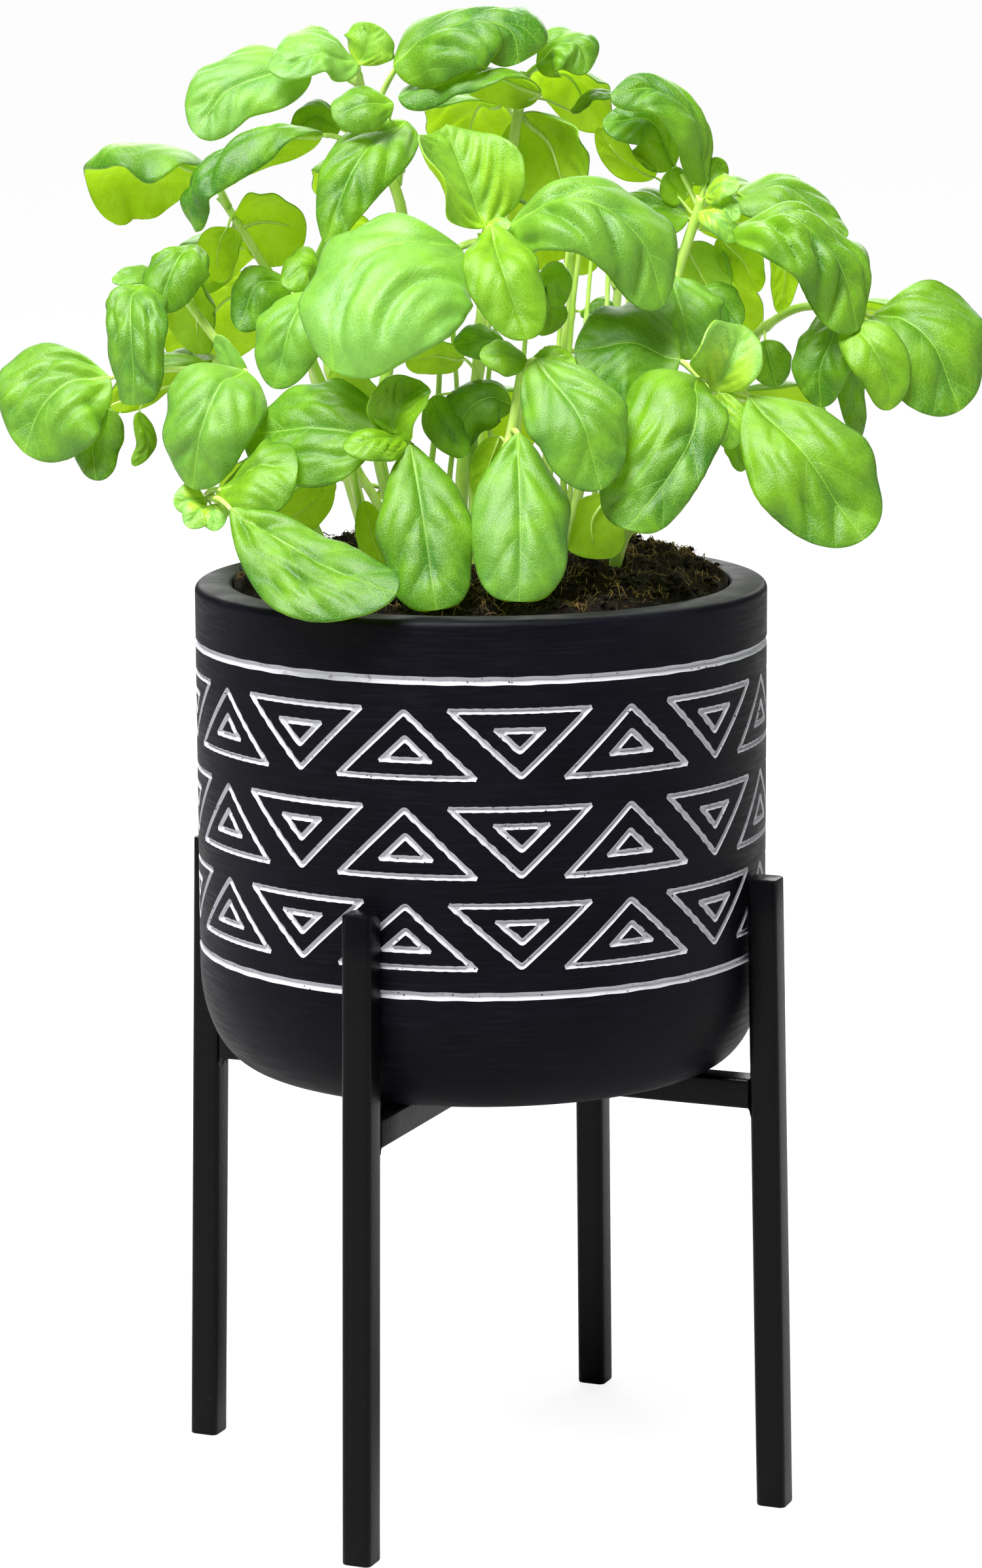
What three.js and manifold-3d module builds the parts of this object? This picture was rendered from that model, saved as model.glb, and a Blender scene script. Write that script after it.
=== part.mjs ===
// A potted basil plant on a low stand of four square legs.
// Millimetres, +Z up, +X to the right and -Y to the front. The origin is on the floor, on the pot's axis.
import * as THREE from 'three';
import { mergeVertices } from 'three/addons/utils/BufferGeometryUtils.js';
import Module from 'manifold-3d';

const wasm = await Module();
wasm.setup();

// Gap between two pieces that touch.
const GAP = 0.3;

// Pot: a straight-sided cylinder with a rounded lower corner and two turned rings.
const POT_RADIUS = 75;
const POT_BOTTOM = 116;
const POT_TOP = 243;
const POT_WALL = 10;
const POT_FLOOR = 10;
const POT_CORNER_WIDTH = 14;
const POT_CORNER_HEIGHT = 26;
const POT_OUTER_LIP = 2;
const POT_INNER_LIP = 1.5;
const POT_SEGMENTS = 44;
const RING_HEIGHTS = [147.7, 227.9];
const RING_WIDTH = 2.2;
const RING_DEPTH = 0.8;

// Soil: level with the lip in front, heaped a little in the middle and at the back.
const SOIL_EDGE = 241;
const SOIL_HEAP = 7;
const SOIL_TILT = 5;
const SOIL_RINGS = 3;
const SOIL_SEGMENTS = 24;
const STEM_DEPTH = 12;

// Stand: four leaning square legs, and a cross of the same bar under the pot.
const BAR = 8;
const BAR_CORNER = 1.5;
const LEG_TOP = 169;
const LEG_TOP_RADIUS = POT_RADIUS + GAP + BAR / 2;
const LEG_FOOT_RADIUS = 83;
const LEG_AZIMUTHS = { front_left: -22.5, right: 67.5, back: 157.5, left: -112.5 };
const CROSS_TOP = POT_BOTTOM - GAP;
const CROSS_CORNER = 1;
const CORNER_STEPS = 2;

// Leaves and stems.
const LEAF_THICKNESS = 0.9;
const LEAF_STATIONS = 6;
const LEAF_COLUMNS = 4;
const SMALL_LEAF_WIDTH = 18;
const SMALL_LEAF_STATIONS = 5;
const SMALL_LEAF_COLUMNS = 2;
const LEAF_FULLNESS = 0.6;
const LEAF_PEAK = 0.42;
const LEAF_END_HALF_WIDTH = 0.5;
const LEAF_EVENING = 0.75;
const PETIOLE_RADIUS = 1.0;
const PETIOLE_SIDES = 4;
const PETIOLE_STEPS = 2;
const PETIOLE_INTO_BLADE = 0.12;
const STEM_SIDES = 6;
const STEM_STEP = 15;

const CERAMIC = { color: 0x2b2b30, roughness: 0.75, metalness: 0.0 };
const BLACK_STEEL = { color: 0x121216, roughness: 0.35, metalness: 0.3 };
const SOIL = { color: 0x2a1c10, roughness: 1.0, metalness: 0.0 };
const STEM_GREEN = { color: 0x8fbf3a, roughness: 0.5, metalness: 0.0 };
const LEAF_GREEN = { color: 0x4f9a2c, roughness: 0.4, metalness: 0.0 };

// Leaf rows: name, midrib points (on the stem, base of the blade, ..., tip), width, the way the upper
// side faces (six numbers where it turns, at the base and then at the tip), bend across the width in
// radians (negative is cupped), where the widest part is along the blade, from 0 at its base to 1, if
// that isn't LEAF_PEAK, and a power for the tip if that isn't LEAF_FULLNESS (more is narrower).
const LEAVES = [
  ['largest_front', [[1,-25,333], [-5,-28,332], [-14,-35,332], [-25,-43,325.5], [-34,-47,314],
   [-37,-47,302.5]],
   48, [-0.3,-0.8,0.5], 0.65, 0.45, 0.45],
  ['bright_front', [[1,-25,334], [3,-32,337.5], [6,-48,327.5], [12,-52,310.5]],
   21, [0.1,-0.9,0.42], 0.6, 0.5, 0.4],
  ['centre_right', [[1,-24,334], [7,-26,337], [18,-31,344], [31,-34,343.5], [41.5,-35,334],
   [46.5,-35,317.5]],
   33, [0.1,-0.6,0.8], 0.8],
  ['young_cup', [[1,-24,333], [1.8,-26,336.5], [-1,-26,346], [-5,-23,355], [-8.5,-18,362]],
   29, [0.4,-0.8,0.35], -1.0, 0.45, 0.85],
  ['left_hanging', [[-21,15,345], [-18.5,3,362], [-26.5,-9,358], [-33,-16,350],
   [-37,-18,339.5], [-38.5,-18,330.5]],
   22, [-0.2,-0.85,0.5], 0.7, 0.4, 0.75],
  ['crown', [[-28,13.5,362], [-21.5,4,376], [-15.5,2,384], [-7,0,388.5], [2,-1,389.5],
   [8.5,-2,386], [10.5,-2,377]],
   36, [0,-0.5,0.85], 1.2, 0.42, 0.38],
  ['under_crown', [[10,12,364], [16,4,369], [6,4,375.5], [-8,4,376], [-20.5,2,367.5]],
   28, [0,0.5,0.87,0,-0.4,0.9], 1.2],
  ['centre_backlit', [[10,12,362], [11,14,363], [19,17,357], [24,17,339]], 34, [0.35,0.75,0.45], 1.0],
  ['top_left_long', [[-31,12,371], [-44,8,377], [-54,5,376.5], [-66,2,372], [-73,-1,359]],
   26, [-0.15,-0.75,0.65], 0.7],
  ['left_arched', [[-25,14,352], [-40.5,4,359], [-55.5,0,361], [-69,-4,354], [-76,-6,344],
   [-73,-7,334.5]],
   32, [-0.3,0.25,0.9,-0.75,-0.3,0.5], 1.5, 0.42, 0.6],
  ['far_left_top', [[-66,20.5,339], [-71,17,349.5], [-81,15,355.5], [-93,14,355.5], [-103,13,348]],
   55, [0,0.32,0.95], 1.3, 0.5, 0.3],
  ['left_backlit', [[-63,20.4,334], [-65,22,334], [-56,21,336], [-45.5,20,334]],
   27, [0,0.85,0.5], 0.9, 0.5, 0.4],
  ['hanging_left', [[-79,2,319], [-86,-8,321], [-89.5,-16,319.5], [-89.5,-22,310],
   [-89,-23,300], [-88.7,-22,291.5]],
   21, [-0.35,-0.85,0.4], 1.0, 0.3, 0.2],
  ['far_left', [[-61,-4,297], [-96.5,-1,296.5], [-107,-4,296.5], [-115.5,-6,289], [-119,-6,277.5]],
   37, [-0.25,-0.8,0.5], 0.5, 0.5],
  ['quilted_left', [[-61,-3,297], [-60,-20,299.5], [-66,-32,298.5], [-71,-38,286.5], [-73,-36,271.5]],
   30, [-0.2,-0.9,0.4], 0.8, 0.38, 0.45],
  ['left_light', [[-42.6,3,314], [-43.8,-12,319.5], [-48,-20,313.5], [-50.5,-22,305], [-52.5,-21,295.5]],
   21, [-0.2,-0.85,0.45], 0.6],
  ['left_broad', [[-19,-40,284], [-26,-40,286], [-43,-37,288], [-60,-27,284]], 34, [-0.1,-0.8,0.6], 0.5],
  ['over_rim', [[-70,-28,268], [-63,-48,268], [-42,-68,254], [-21,-77,250.5]],
   25, [-0.1,-0.75,0.65], 0.4, 0.55],
  ['droop_left', [[-20,-40,284], [-17.5,-44,284], [-14.5,-58,268], [-12,-65,251], [-11,-66,244.5]],
   26, [0,-0.95,0.3], 0.7, 0.56, 0.3],
  ['droop_right', [[8,-36,286], [9.5,-44,286], [10,-58,268], [9.8,-65,252], [9.5,-66,246.5]],
   28, [0.05,-0.95,0.3], 0.7, 0.55, 0.3],
  ['quilted_front', [[11,-35,302], [14,-46,305], [25,-60,292], [30,-62,274]],
   28, [0.1,-0.9,0.42], 0.7, 0.48],
  ['big_lower', [[59.5,-30,297], [55.5,-35,299], [51.5,-43,299], [46.3,-51,289.5],
   [40.4,-57,275.5], [36.7,-59,263.5]],
   31, [-0.2,-0.85,0.5], 0.6, 0.42, 0.3],
  ['lower_right', [[60.5,-30,296], [68,-36,295], [82,-50,281], [96,-54,260]],
   34, [0.15,-0.88,0.45], 0.45, 0.55],
  ['round_right', [[51,8.5,320], [50,-4,322], [52,-14,315], [55,-16,302]], 24, [0.05,-0.85,0.5], 0.6],
  ['matt_behind', [[58,-29,296], [51,-28,303], [38,-29,309], [24,-28,305]], 38, [0,-0.7,0.7], 0.6],
  ['right_hanging', [[88,10,313], [91.5,1,313.5], [91.5,-8,308], [87.5,-13,299], [88,-12,289]],
   19, [-0.1,-0.9,0.35], 0.7],
  ['far_right', [[93.5,8,313], [101.5,-1,311.5], [109,-8,312.5], [117,-13,306], [123.8,-16,288.5]],
   36, [0.25,-0.85,0.45], 0.4, 0.45],
  ['right_arched', [[57,5.5,338], [66,-6,336], [79,-14,339], [92,-16,329], [97,-15,309]],
   32, [0.1,-0.45,0.9], 0.9],
  ['right_upper', [[58,5.5,340], [66,10,341.5], [80,12,345.5], [96,10,331.5]], 24, [0.05,-0.45,0.9], 0.8],
  ['top_right', [[57.5,5,341], [59,6,346], [57,2,361], [46,0,371], [34,-2,368.5]],
   20, [0.5,-0.55,0.7], 0.8],
  ['back_left_big', [[-50,58,312], [-54,60,314], [-70,73,312], [-83,79,292]], 38, [-0.3,0.8,0.5], 0.6],
  ['back_centre_low', [[0,60,284], [0,64,286], [2,77,284], [4,82,262]], 34, [0,0.85,0.5], 0.6],
  ['back_right_big', [[38,62,315], [43,64,317], [60,75,314], [74,79,294]], 38, [0.3,0.8,0.5], 0.6],
  ['back_right_low', [[60,36,284], [66,44,287], [80,58,285], [92,66,266]], 32, [0.4,0.75,0.5], 0.6],
  ['back_top_left', [[-20,15,340], [-27,26,349], [-33,42,352], [-38,54,338]], 28, [-0.2,0.6,0.8], 0.7],
  ['back_top_centre', [[10,12,362], [6,26,366], [0,42,366], [-5,56,350]], 32, [0,0.6,0.8], 0.8],
  ['back_top_right', [[58,5.5,341], [61,16,345], [65,34,346], [67,50,328]], 30, [0.2,0.6,0.8], 0.7],
];

const SHOOT_LEAVES = [
  ['knobby_left', 'left_long', [[-78,2,319], [-74,1,330.5], [-77,-7,329.5], [-80.5,-11,322],
   [-82.5,-11,314.5]],
   20, [-0.2,-0.7,0.7,-0.1,-0.95,0.2], 1.0, 0.4, 0.4],
  ['far_left_lower', 'left_long', [[-62,-3,296], [-97,-4,289], [-101,-3,280], [-100,-5,270]],
   16, [-0.3,-0.8,0.3], 0.9],
  ['back_left_upper', 'left_back', [[-58,20,326], [-61,30,329], [-70,46,330], [-78,55,314]],
   26, [-0.3,0.7,0.6], 0.6],
  ['low_left', 'left_low', [[-70,-28,269], [-66,-37,271.5], [-57,-46,277], [-46,-46,277.5]],
   28, [0.1,-0.75,0.6], 0.7, 0.5, 0.35],
  ['young_low_a', 'left_low', [[-70,-28,268], [-70.5,-31,268.5], [-74,-34,268.5], [-78,-35,267.5]],
   9, [0,-0.95,0.3], 0.4],
  ['left_dark', 'left_inner', [[-43,5,316], [-49.5,2,321], [-57.5,-2,321], [-62.5,-4,309]],
   16, [-0.2,-0.8,0.5], 0.8],
  ['left_small', 'left_inner', [[-43,5,318], [-41,-1,321], [-45,-5,325.5], [-51,-8,321]],
   14, [-0.1,-0.8,0.6], 0.8],
  ['top_left_small', 'tall_left', [[-31,12,371], [-31.5,3,377], [-42,-3,383], [-53.5,-6,375.5]],
   21, [-0.1,-0.6,0.8], 0.6],
  ['top_left_young', 'tall_left', [[-31,12,374], [-31,7,376.5], [-29,5,381], [-27,6,387]],
   16, [0,-0.85,0.5], 0.9, 0.5, 0.45],
  ['round_upper', 'tall_left', [[-25,14,352], [-22,-6,367], [-29,-11,367.5], [-37.5,-10,364]],
   16, [-0.1,-0.85,0.5], 0.8, 0.5, 0.4],
  ['top_right_small', 'tall_centre', [[11.5,13.5,372], [15,12,376], [20,10,382], [26,7,382],
   [28.5,6,374.5]],
   19, [0.1,-0.6,0.8], 0.9],
  ['small_curled', 'front_right', [[11,-35,300], [12,-40,302.5], [17,-44,306], [24,-44,303.5]],
   12, [0,-0.7,0.7], 1.0],
  ['bud_centre', 'front_centre', [[1,-25,334], [1.5,-27,334.5], [4.5,-30,337.5], [8,-31,337.5]],
   7, [0.1,-0.75,0.65], 0.5],
  ['young_left', 'front_left', [[-20,-40,283], [-19,-41.5,285.5], [-26,-48,286], [-34,-51,283]],
   15, [-0.1,-0.7,0.7], 0.9],
  ['young_curl_a', 'front_left', [[-20,-40,284], [-22.5,-41,285.5], [-20.5,-44,293], [-15,-39,299]],
   16, [0,-0.85,0.5], -1.2],
  ['young_right', 'right_front', [[60,-30,297], [59.6,-33,295.5], [63.6,-36,303.5], [66.8,-33,312]],
   18, [0.5,-0.75,0.35], -1.2, 0.42, 0.7],
  ['curled_right', 'right_front', [[60,-30,296], [60.5,-34,295], [62.6,-37,289], [63.4,-36,281]],
   11, [-0.3,-0.9,0.2], 0.9],
  ['right_inner', 'right_tall', [[56.5,6,335], [54.5,8,336.5], [46.5,8,341], [36.5,6,341]],
   20, [0,-0.5,0.85], 0.6],
  ['top_right_fold', 'right_tall', [[57,5.5,339], [51,12,350], [44,8,363], [32,4,361]],
   20, [-0.1,-0.7,0.7], 0.9],
  ['bud_right_b', 'right_tall', [[57,5.5,335], [57.2,-3,339], [60.8,-9,338], [65.5,-9,331.5]],
   8, [0,-0.8,0.6], 0.8],
  ['bud_right_a', 'right_tall', [[58,5,340], [58.5,0,342.5], [62.5,-5,346], [67,-6,345.5]],
   9, [0,-0.8,0.6], 0.6],
  ['right_flat', 'right_back', [[93,8.3,313], [95,-12,311.5], [101,-19,305], [105,-20,296],
   [105,-19,289]],
   16, [0.1,-0.95,0.3], 0.3],
  ['back_inner', 'back_centre', [[24,30,325], [23,37,333], [13,52,341], [2,60,330]],
   24, [-0.1,0.6,0.8], 0.6],
  ['back_right_inner', 'back_centre', [[23,31,300], [27,34,299], [40,38,299], [50,40,288]],
   22, [0.2,0.6,0.8], 0.6],
  ['back_left_mid', 'back_left', [[-43,54,286], [-44,60,288], [-44,74,284], [-42,80,262]],
   32, [0,0.9,0.4], 0.7],
  ['back_left_top', 'back_left', [[-50,58,314], [-47,60,318], [-37,70,330], [-23,76,320]],
   30, [0.1,0.6,0.8], 0.7],
  ['back_right_mid', 'back_right', [[34,58,292], [35,62,292], [38,76,284], [40,81,264]],
   30, [0,0.9,0.4], 0.7],
  ['back_right_top', 'back_right', [[37,61,314], [33,65,323], [20,73,333], [4,77,320]],
   30, [0,0.6,0.8], 0.7],
];

const STEMS = [
  ['left_long', [[-36,10,246], [-48,5,265], [-56,0,280], [-61,-3,297], [-70,0,308], [-79,3,320]], 1.4],
  ['left_back', [[-27,22,247], [-36,21,275], [-45,20,300], [-58,20,326], [-68,21,342]], 1.4],
  ['left_low', [[-46,-24,243], [-58,-26,258], [-66,-28,266], [-70,-28,270]], 1.2],
  ['left_inner', [[-22,4,246], [-27,5,262], [-33,5,273], [-39,5,295], [-43,5,321]], 1.3],
  ['tall_left', [[-16,15,247], [-27,13,275], [-24,15,300], [-20,15,336], [-26,14,355], [-32,12,374]], 1.7],
  ['tall_centre', [[-4,2,246], [-5,3,270], [0,4,300], [6,8,336], [10,12,363], [12,14,374]], 1.7],
  ['front_right', [[4,-40,243], [5,-38,270], [8,-36,288], [11,-35,304]], 1.4],
  ['front_centre', [[0,-26,245], [-2,-25,280], [0,-24,310], [1,-24,335]], 1.5],
  ['front_left', [[-10,-43,243], [-14,-41,265], [-20,-40,286]], 1.4],
  ['right_front', [[33,-12,246], [37,-14,256], [48,-22,275], [60,-30,298]], 1.7],
  ['right_tall', [[27,18,247], [36,16,275], [45,12,300], [52,8,323], [58,5,342]], 1.7],
  ['right_back', [[34,36,246], [50,38,268], [60,36,284], [68,28,298], [75,18,307],
   [84,10,313], [95,8,313]],
   1.4],
  ['back_centre', [[15,30,247], [20,31,290], [24,30,312], [24,30,326]], 1.3],
  ['back_left', [[-28,42,246], [-38,50,270], [-46,56,295], [-50,58,314]], 1.5],
  ['back_right', [[22,46,246], [30,54,275], [36,60,300], [38,62,318]], 1.5],
  ['back_low', [[0,46,246], [0,56,270], [0,60,286]], 1.3],
];

// A closed geometry as a solid.
function solidOf(geometry) {
  const bare = geometry.clone();
  bare.deleteAttribute('normal');
  bare.deleteAttribute('uv');
  const merged = mergeVertices(bare, 1e-4);
  const mesh = new wasm.Mesh({
    numProp: 3,
    vertProperties: new Float32Array(merged.attributes.position.array),
    triVerts: new Uint32Array(merged.index.array),
  });
  return new wasm.Manifold(mesh);
}

// A solid as a named mesh.
function meshOf(name, solid, look) {
  const mesh = solid.getMesh();
  const geometry = new THREE.BufferGeometry();
  geometry.setAttribute('position', new THREE.BufferAttribute(mesh.vertProperties, 3));
  geometry.setIndex(new THREE.BufferAttribute(mesh.triVerts, 1));
  geometry.computeVertexNormals();
  const result = new THREE.Mesh(geometry, new THREE.MeshStandardMaterial(look));
  result.name = name;
  return result;
}

function largestBody(solid) {
  let best = null;
  for (const body of solid.decompose()) {
    if (best === null || body.volume() > best.volume()) {
      best = body;
    }
  }
  return best;
}

function boxesMeet(a, b) {
  const boxA = a.boundingBox();
  const boxB = b.boundingBox();
  return [0, 1, 2].every((k) => boxA.min[k] < boxB.max[k] && boxB.min[k] < boxA.max[k]);
}

// A smooth path through the points, made longer by an amount at both ends.
function pathThrough(points, longer) {
  const ends = [[points[0], points[1]], [points.at(-1), points.at(-2)]];
  const moved = ends.map(([end, next]) => end.clone()
    .addScaledVector(end.clone().sub(next).normalize(), longer));
  return new THREE.CatmullRomCurve3([moved[0], ...points.slice(1, -1), moved[1]], false, 'centripetal');
}

function vectors(points) {
  return points.map((point) => new THREE.Vector3(...point));
}

function lathe(profile, segments) {
  const geometry = new THREE.LatheGeometry(profile.map(([r, z]) => new THREE.Vector2(r, z)), segments);
  geometry.rotateX(Math.PI / 2);
  return geometry;
}

// Points of a quarter ellipse about (r, z), from one angle to the other, in degrees.
function cornerArc(r, z, radiusR, radiusZ, from, to, steps) {
  const points = [];
  for (let i = 0; i <= steps; i += 1) {
    const angle = THREE.MathUtils.degToRad(from + (to - from) * (i / steps));
    points.push([r + radiusR * Math.cos(angle), z + radiusZ * Math.sin(angle)]);
  }
  return points;
}

function potProfile() {
  const inner = POT_RADIUS - POT_WALL;
  const floor = POT_BOTTOM + POT_FLOOR;
  const side = RING_HEIGHTS.flatMap((z) => [
    [POT_RADIUS, z - RING_WIDTH / 2],
    [POT_RADIUS - RING_DEPTH, z],
    [POT_RADIUS, z + RING_WIDTH / 2],
  ]);
  return [
    [0, POT_BOTTOM],
    ...cornerArc(POT_RADIUS - POT_CORNER_WIDTH, POT_BOTTOM + POT_CORNER_HEIGHT,
      POT_CORNER_WIDTH, POT_CORNER_HEIGHT, -90, 0, 5),
    ...side,
    ...cornerArc(POT_RADIUS - POT_OUTER_LIP, POT_TOP - POT_OUTER_LIP, POT_OUTER_LIP, POT_OUTER_LIP, 0, 90, 2),
    ...cornerArc(inner + POT_INNER_LIP, POT_TOP - POT_INNER_LIP, POT_INNER_LIP, POT_INNER_LIP, 90, 180, 2),
    [inner, floor + POT_CORNER_WIDTH / 2],
    [inner - POT_CORNER_WIDTH / 3, floor],
    [0, floor],
  ];
}

function soilHeight(x, y, radius) {
  const fraction = Math.hypot(x, y) / radius;
  return SOIL_EDGE + SOIL_HEAP * (1 - fraction ** 3) + SOIL_TILT * (1 + y / radius) * 0.5;
}

function soilSolid(lift) {
  const radius = POT_RADIUS - POT_WALL - GAP;
  const floor = POT_BOTTOM + POT_FLOOR + GAP;
  const profile = [
    [0, floor],
    [radius - POT_CORNER_WIDTH / 3, floor],
    [radius, floor + POT_CORNER_WIDTH / 2],
  ];
  for (let ring = SOIL_RINGS; ring >= 0; ring -= 1) {
    profile.push([radius * (ring / SOIL_RINGS), POT_TOP]);
  }
  const geometry = lathe(profile, SOIL_SEGMENTS);
  const position = geometry.attributes.position;
  for (let i = 0; i < position.count; i += 1) {
    if (position.getZ(i) > POT_TOP - 1) {
      position.setZ(i, soilHeight(position.getX(i), position.getY(i), radius) + lift);
    }
  }
  return solidOf(geometry);
}

function roundedSquare(side, corner) {
  const half = side / 2;
  const centre = half - corner;
  const shape = new THREE.Shape();
  shape.moveTo(half, -centre);
  shape.lineTo(half, centre);
  shape.absarc(centre, centre, corner, 0, Math.PI / 2);
  shape.lineTo(-centre, half);
  shape.absarc(-centre, centre, corner, Math.PI / 2, Math.PI);
  shape.lineTo(-half, -centre);
  shape.absarc(-centre, -centre, corner, Math.PI, Math.PI * 1.5);
  shape.lineTo(centre, -half);
  shape.absarc(centre, -centre, corner, Math.PI * 1.5, Math.PI * 2);
  return shape;
}

function barSolid(length, corner) {
  return solidOf(new THREE.ExtrudeGeometry(roundedSquare(BAR, corner),
    { depth: length, steps: 1, bevelEnabled: false, curveSegments: CORNER_STEPS }));
}

// A leg leans outwards, and both its ends are cut level.
function legSolid(azimuth) {
  const lean = (LEG_FOOT_RADIUS - LEG_TOP_RADIUS) / LEG_TOP;
  const geometry = new THREE.ExtrudeGeometry(roundedSquare(BAR, BAR_CORNER),
    { depth: LEG_TOP, steps: 1, bevelEnabled: false, curveSegments: CORNER_STEPS });
  geometry.translate(0, -LEG_FOOT_RADIUS, 0);
  const shear = new THREE.Matrix4();
  shear.makeShear(0, 0, 0, 0, 0, lean);
  geometry.applyMatrix4(shear);
  geometry.rotateZ(THREE.MathUtils.degToRad(azimuth));
  return solidOf(geometry);
}

// Two bars welded across each other. They end just short of the legs.
function crossSolid() {
  const lean = (LEG_FOOT_RADIUS - LEG_TOP_RADIUS) / LEG_TOP;
  const reach = LEG_FOOT_RADIUS - lean * CROSS_TOP - BAR / 2 - GAP;
  const azimuths = [LEG_AZIMUTHS.front_left, LEG_AZIMUTHS.right];
  const arms = azimuths.map((azimuth) => barSolid(2 * reach, CROSS_CORNER)
    .translate([0, 0, -reach])
    .rotate([90, 0, 0])
    .rotate([0, 0, azimuth])
    .translate([0, 0, CROSS_TOP - BAR / 2]));
  return arms[0].add(arms[1]);
}

// A closed tube of round section along a path.
function tubeSolid(path, radius, sides, steps) {
  const section = new THREE.Shape();
  for (let i = 0; i < sides; i += 1) {
    const angle = (2 * Math.PI * i) / sides;
    if (i === 0) {
      section.moveTo(radius, 0);
    } else {
      section.lineTo(radius * Math.cos(angle), radius * Math.sin(angle));
    }
  }
  return solidOf(new THREE.ExtrudeGeometry(section, { steps, bevelEnabled: false, extrudePath: path }));
}

// Half the width of a blade, a fraction u along it.
function halfWidth(u, width, peak, tipFullness) {
  const skew = Math.log(0.5) / Math.log(peak);
  const fullness = THREE.MathUtils.lerp(LEAF_FULLNESS, tipFullness, u);
  return Math.max((width / 2) * Math.sin(Math.PI * u ** skew) ** fullness, LEAF_END_HALF_WIDTH);
}

// The direction across a blade. Where the midrib swerves within the blade, it stays nearer to square
// with the whole leaf than with the midrib.
function crossways(along, chord, normal) {
  const level = chord.clone().addScaledVector(normal, -chord.dot(normal)).normalize();
  const share = LEAF_EVENING * Math.max(level.dot(along), 0);
  return along.clone().lerp(level, share).normalize().cross(normal);
}

// The blade: a plate of even thickness, bent along its midrib and across its width.
function bladeSolid(curve, width, face, curl, peak, tipFullness, grow) {
  const small = width < SMALL_LEAF_WIDTH;
  const stations = small ? SMALL_LEAF_STATIONS : LEAF_STATIONS;
  const columns = small ? SMALL_LEAF_COLUMNS : LEAF_COLUMNS;
  const faceAtBase = new THREE.Vector3(...face.slice(0, 3)).normalize();
  const faceAtTip = new THREE.Vector3(...face.slice(-3)).normalize();
  const chord = curve.getPoint(1).sub(curve.getPoint(0)).normalize();
  const bendRadius = width / 2 / curl;
  const across = columns + 1;
  const positions = [];
  for (const side of [1, -1]) {
    for (let i = 0; i <= stations; i += 1) {
      const u = (1 - Math.cos((Math.PI * i) / stations)) / 2;
      const middle = curve.getPointAt(u);
      const along = curve.getTangentAt(u);
      const upper = faceAtBase.clone().lerp(faceAtTip, u).normalize();
      const normal = upper.addScaledVector(along, -upper.dot(along)).normalize();
      const sideways = crossways(along, chord, normal);
      const half = halfWidth(Math.min(Math.max(u, 0), 1), width, peak, tipFullness) + grow;
      for (let j = 0; j < across; j += 1) {
        const angle = ((2 * j) / columns - 1) * (half / bendRadius);
        const outward = normal.clone().multiplyScalar(Math.cos(angle))
          .addScaledVector(sideways, Math.sin(angle));
        const radius = bendRadius + side * (LEAF_THICKNESS / 2 + grow);
        const point = middle.clone().addScaledVector(normal, -bendRadius).addScaledVector(outward, radius);
        positions.push(point.x, point.y, point.z);
      }
    }
  }
  return solidOf(plateGeometry(positions, stations, across));
}

// A closed plate: its upper grid of points, then the lower one, joined round the rim.
function plateGeometry(positions, stations, across) {
  const lower = (stations + 1) * across;
  const index = [];
  const quad = (a, b, c, d) => index.push(a, c, b, a, d, c);
  for (let i = 0; i < stations; i += 1) {
    for (let j = 0; j < across - 1; j += 1) {
      const a = i * across + j;
      quad(a, a + across, a + across + 1, a + 1);
      quad(lower + a, lower + a + 1, lower + a + across + 1, lower + a + across);
    }
    const left = i * across;
    const right = left + across - 1;
    quad(left, lower + left, lower + left + across, left + across);
    quad(right, right + across, lower + right + across, lower + right);
  }
  for (let j = 0; j < across - 1; j += 1) {
    const far = stations * across + j;
    quad(j, j + 1, lower + j + 1, lower + j);
    quad(far, lower + far, lower + far + 1, far + 1);
  }
  const geometry = new THREE.BufferGeometry();
  geometry.setAttribute('position', new THREE.Float32BufferAttribute(positions, 3));
  geometry.setIndex(index);
  return geometry;
}

function leafSolid([points, width, face, curl, peak = LEAF_PEAK, tipFullness = LEAF_FULLNESS], grow) {
  const [root, ...midrib] = vectors(points);
  const curve = pathThrough(midrib, grow);
  const blade = bladeSolid(curve, width, face, curl, peak, tipFullness, grow);
  const stalk = pathThrough([root, midrib[0], curve.getPointAt(PETIOLE_INTO_BLADE)], grow);
  return blade.add(tubeSolid(stalk, PETIOLE_RADIUS + grow, PETIOLE_SIDES, PETIOLE_STEPS));
}

// A stem with the small leaves that grow from it. It stands in the soil.
function shootSolid([name, points, radius], grow) {
  const planted = vectors(points);
  planted[0].z -= STEM_DEPTH;
  const path = pathThrough(planted, grow);
  const steps = Math.ceil(path.getLength() / STEM_STEP);
  let shoot = tubeSolid(path, radius + grow, STEM_SIDES, steps);
  for (const [, stem, ...row] of SHOOT_LEAVES.filter((leaf) => leaf[1] === name)) {
    shoot = shoot.add(leafSolid(row, grow));
  }
  return shoot;
}

const basil = new THREE.Group();
const placed = [];

// Adds a piece, cut back where it would come closer than GAP to one that is already there.
function place(name, build, look) {
  let solid = build(0);
  for (const other of placed) {
    if (boxesMeet(solid, other)) {
      solid = solid.subtract(other);
    }
  }
  basil.add(meshOf(name, largestBody(solid), look));
  placed.push(build(GAP));
}

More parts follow.
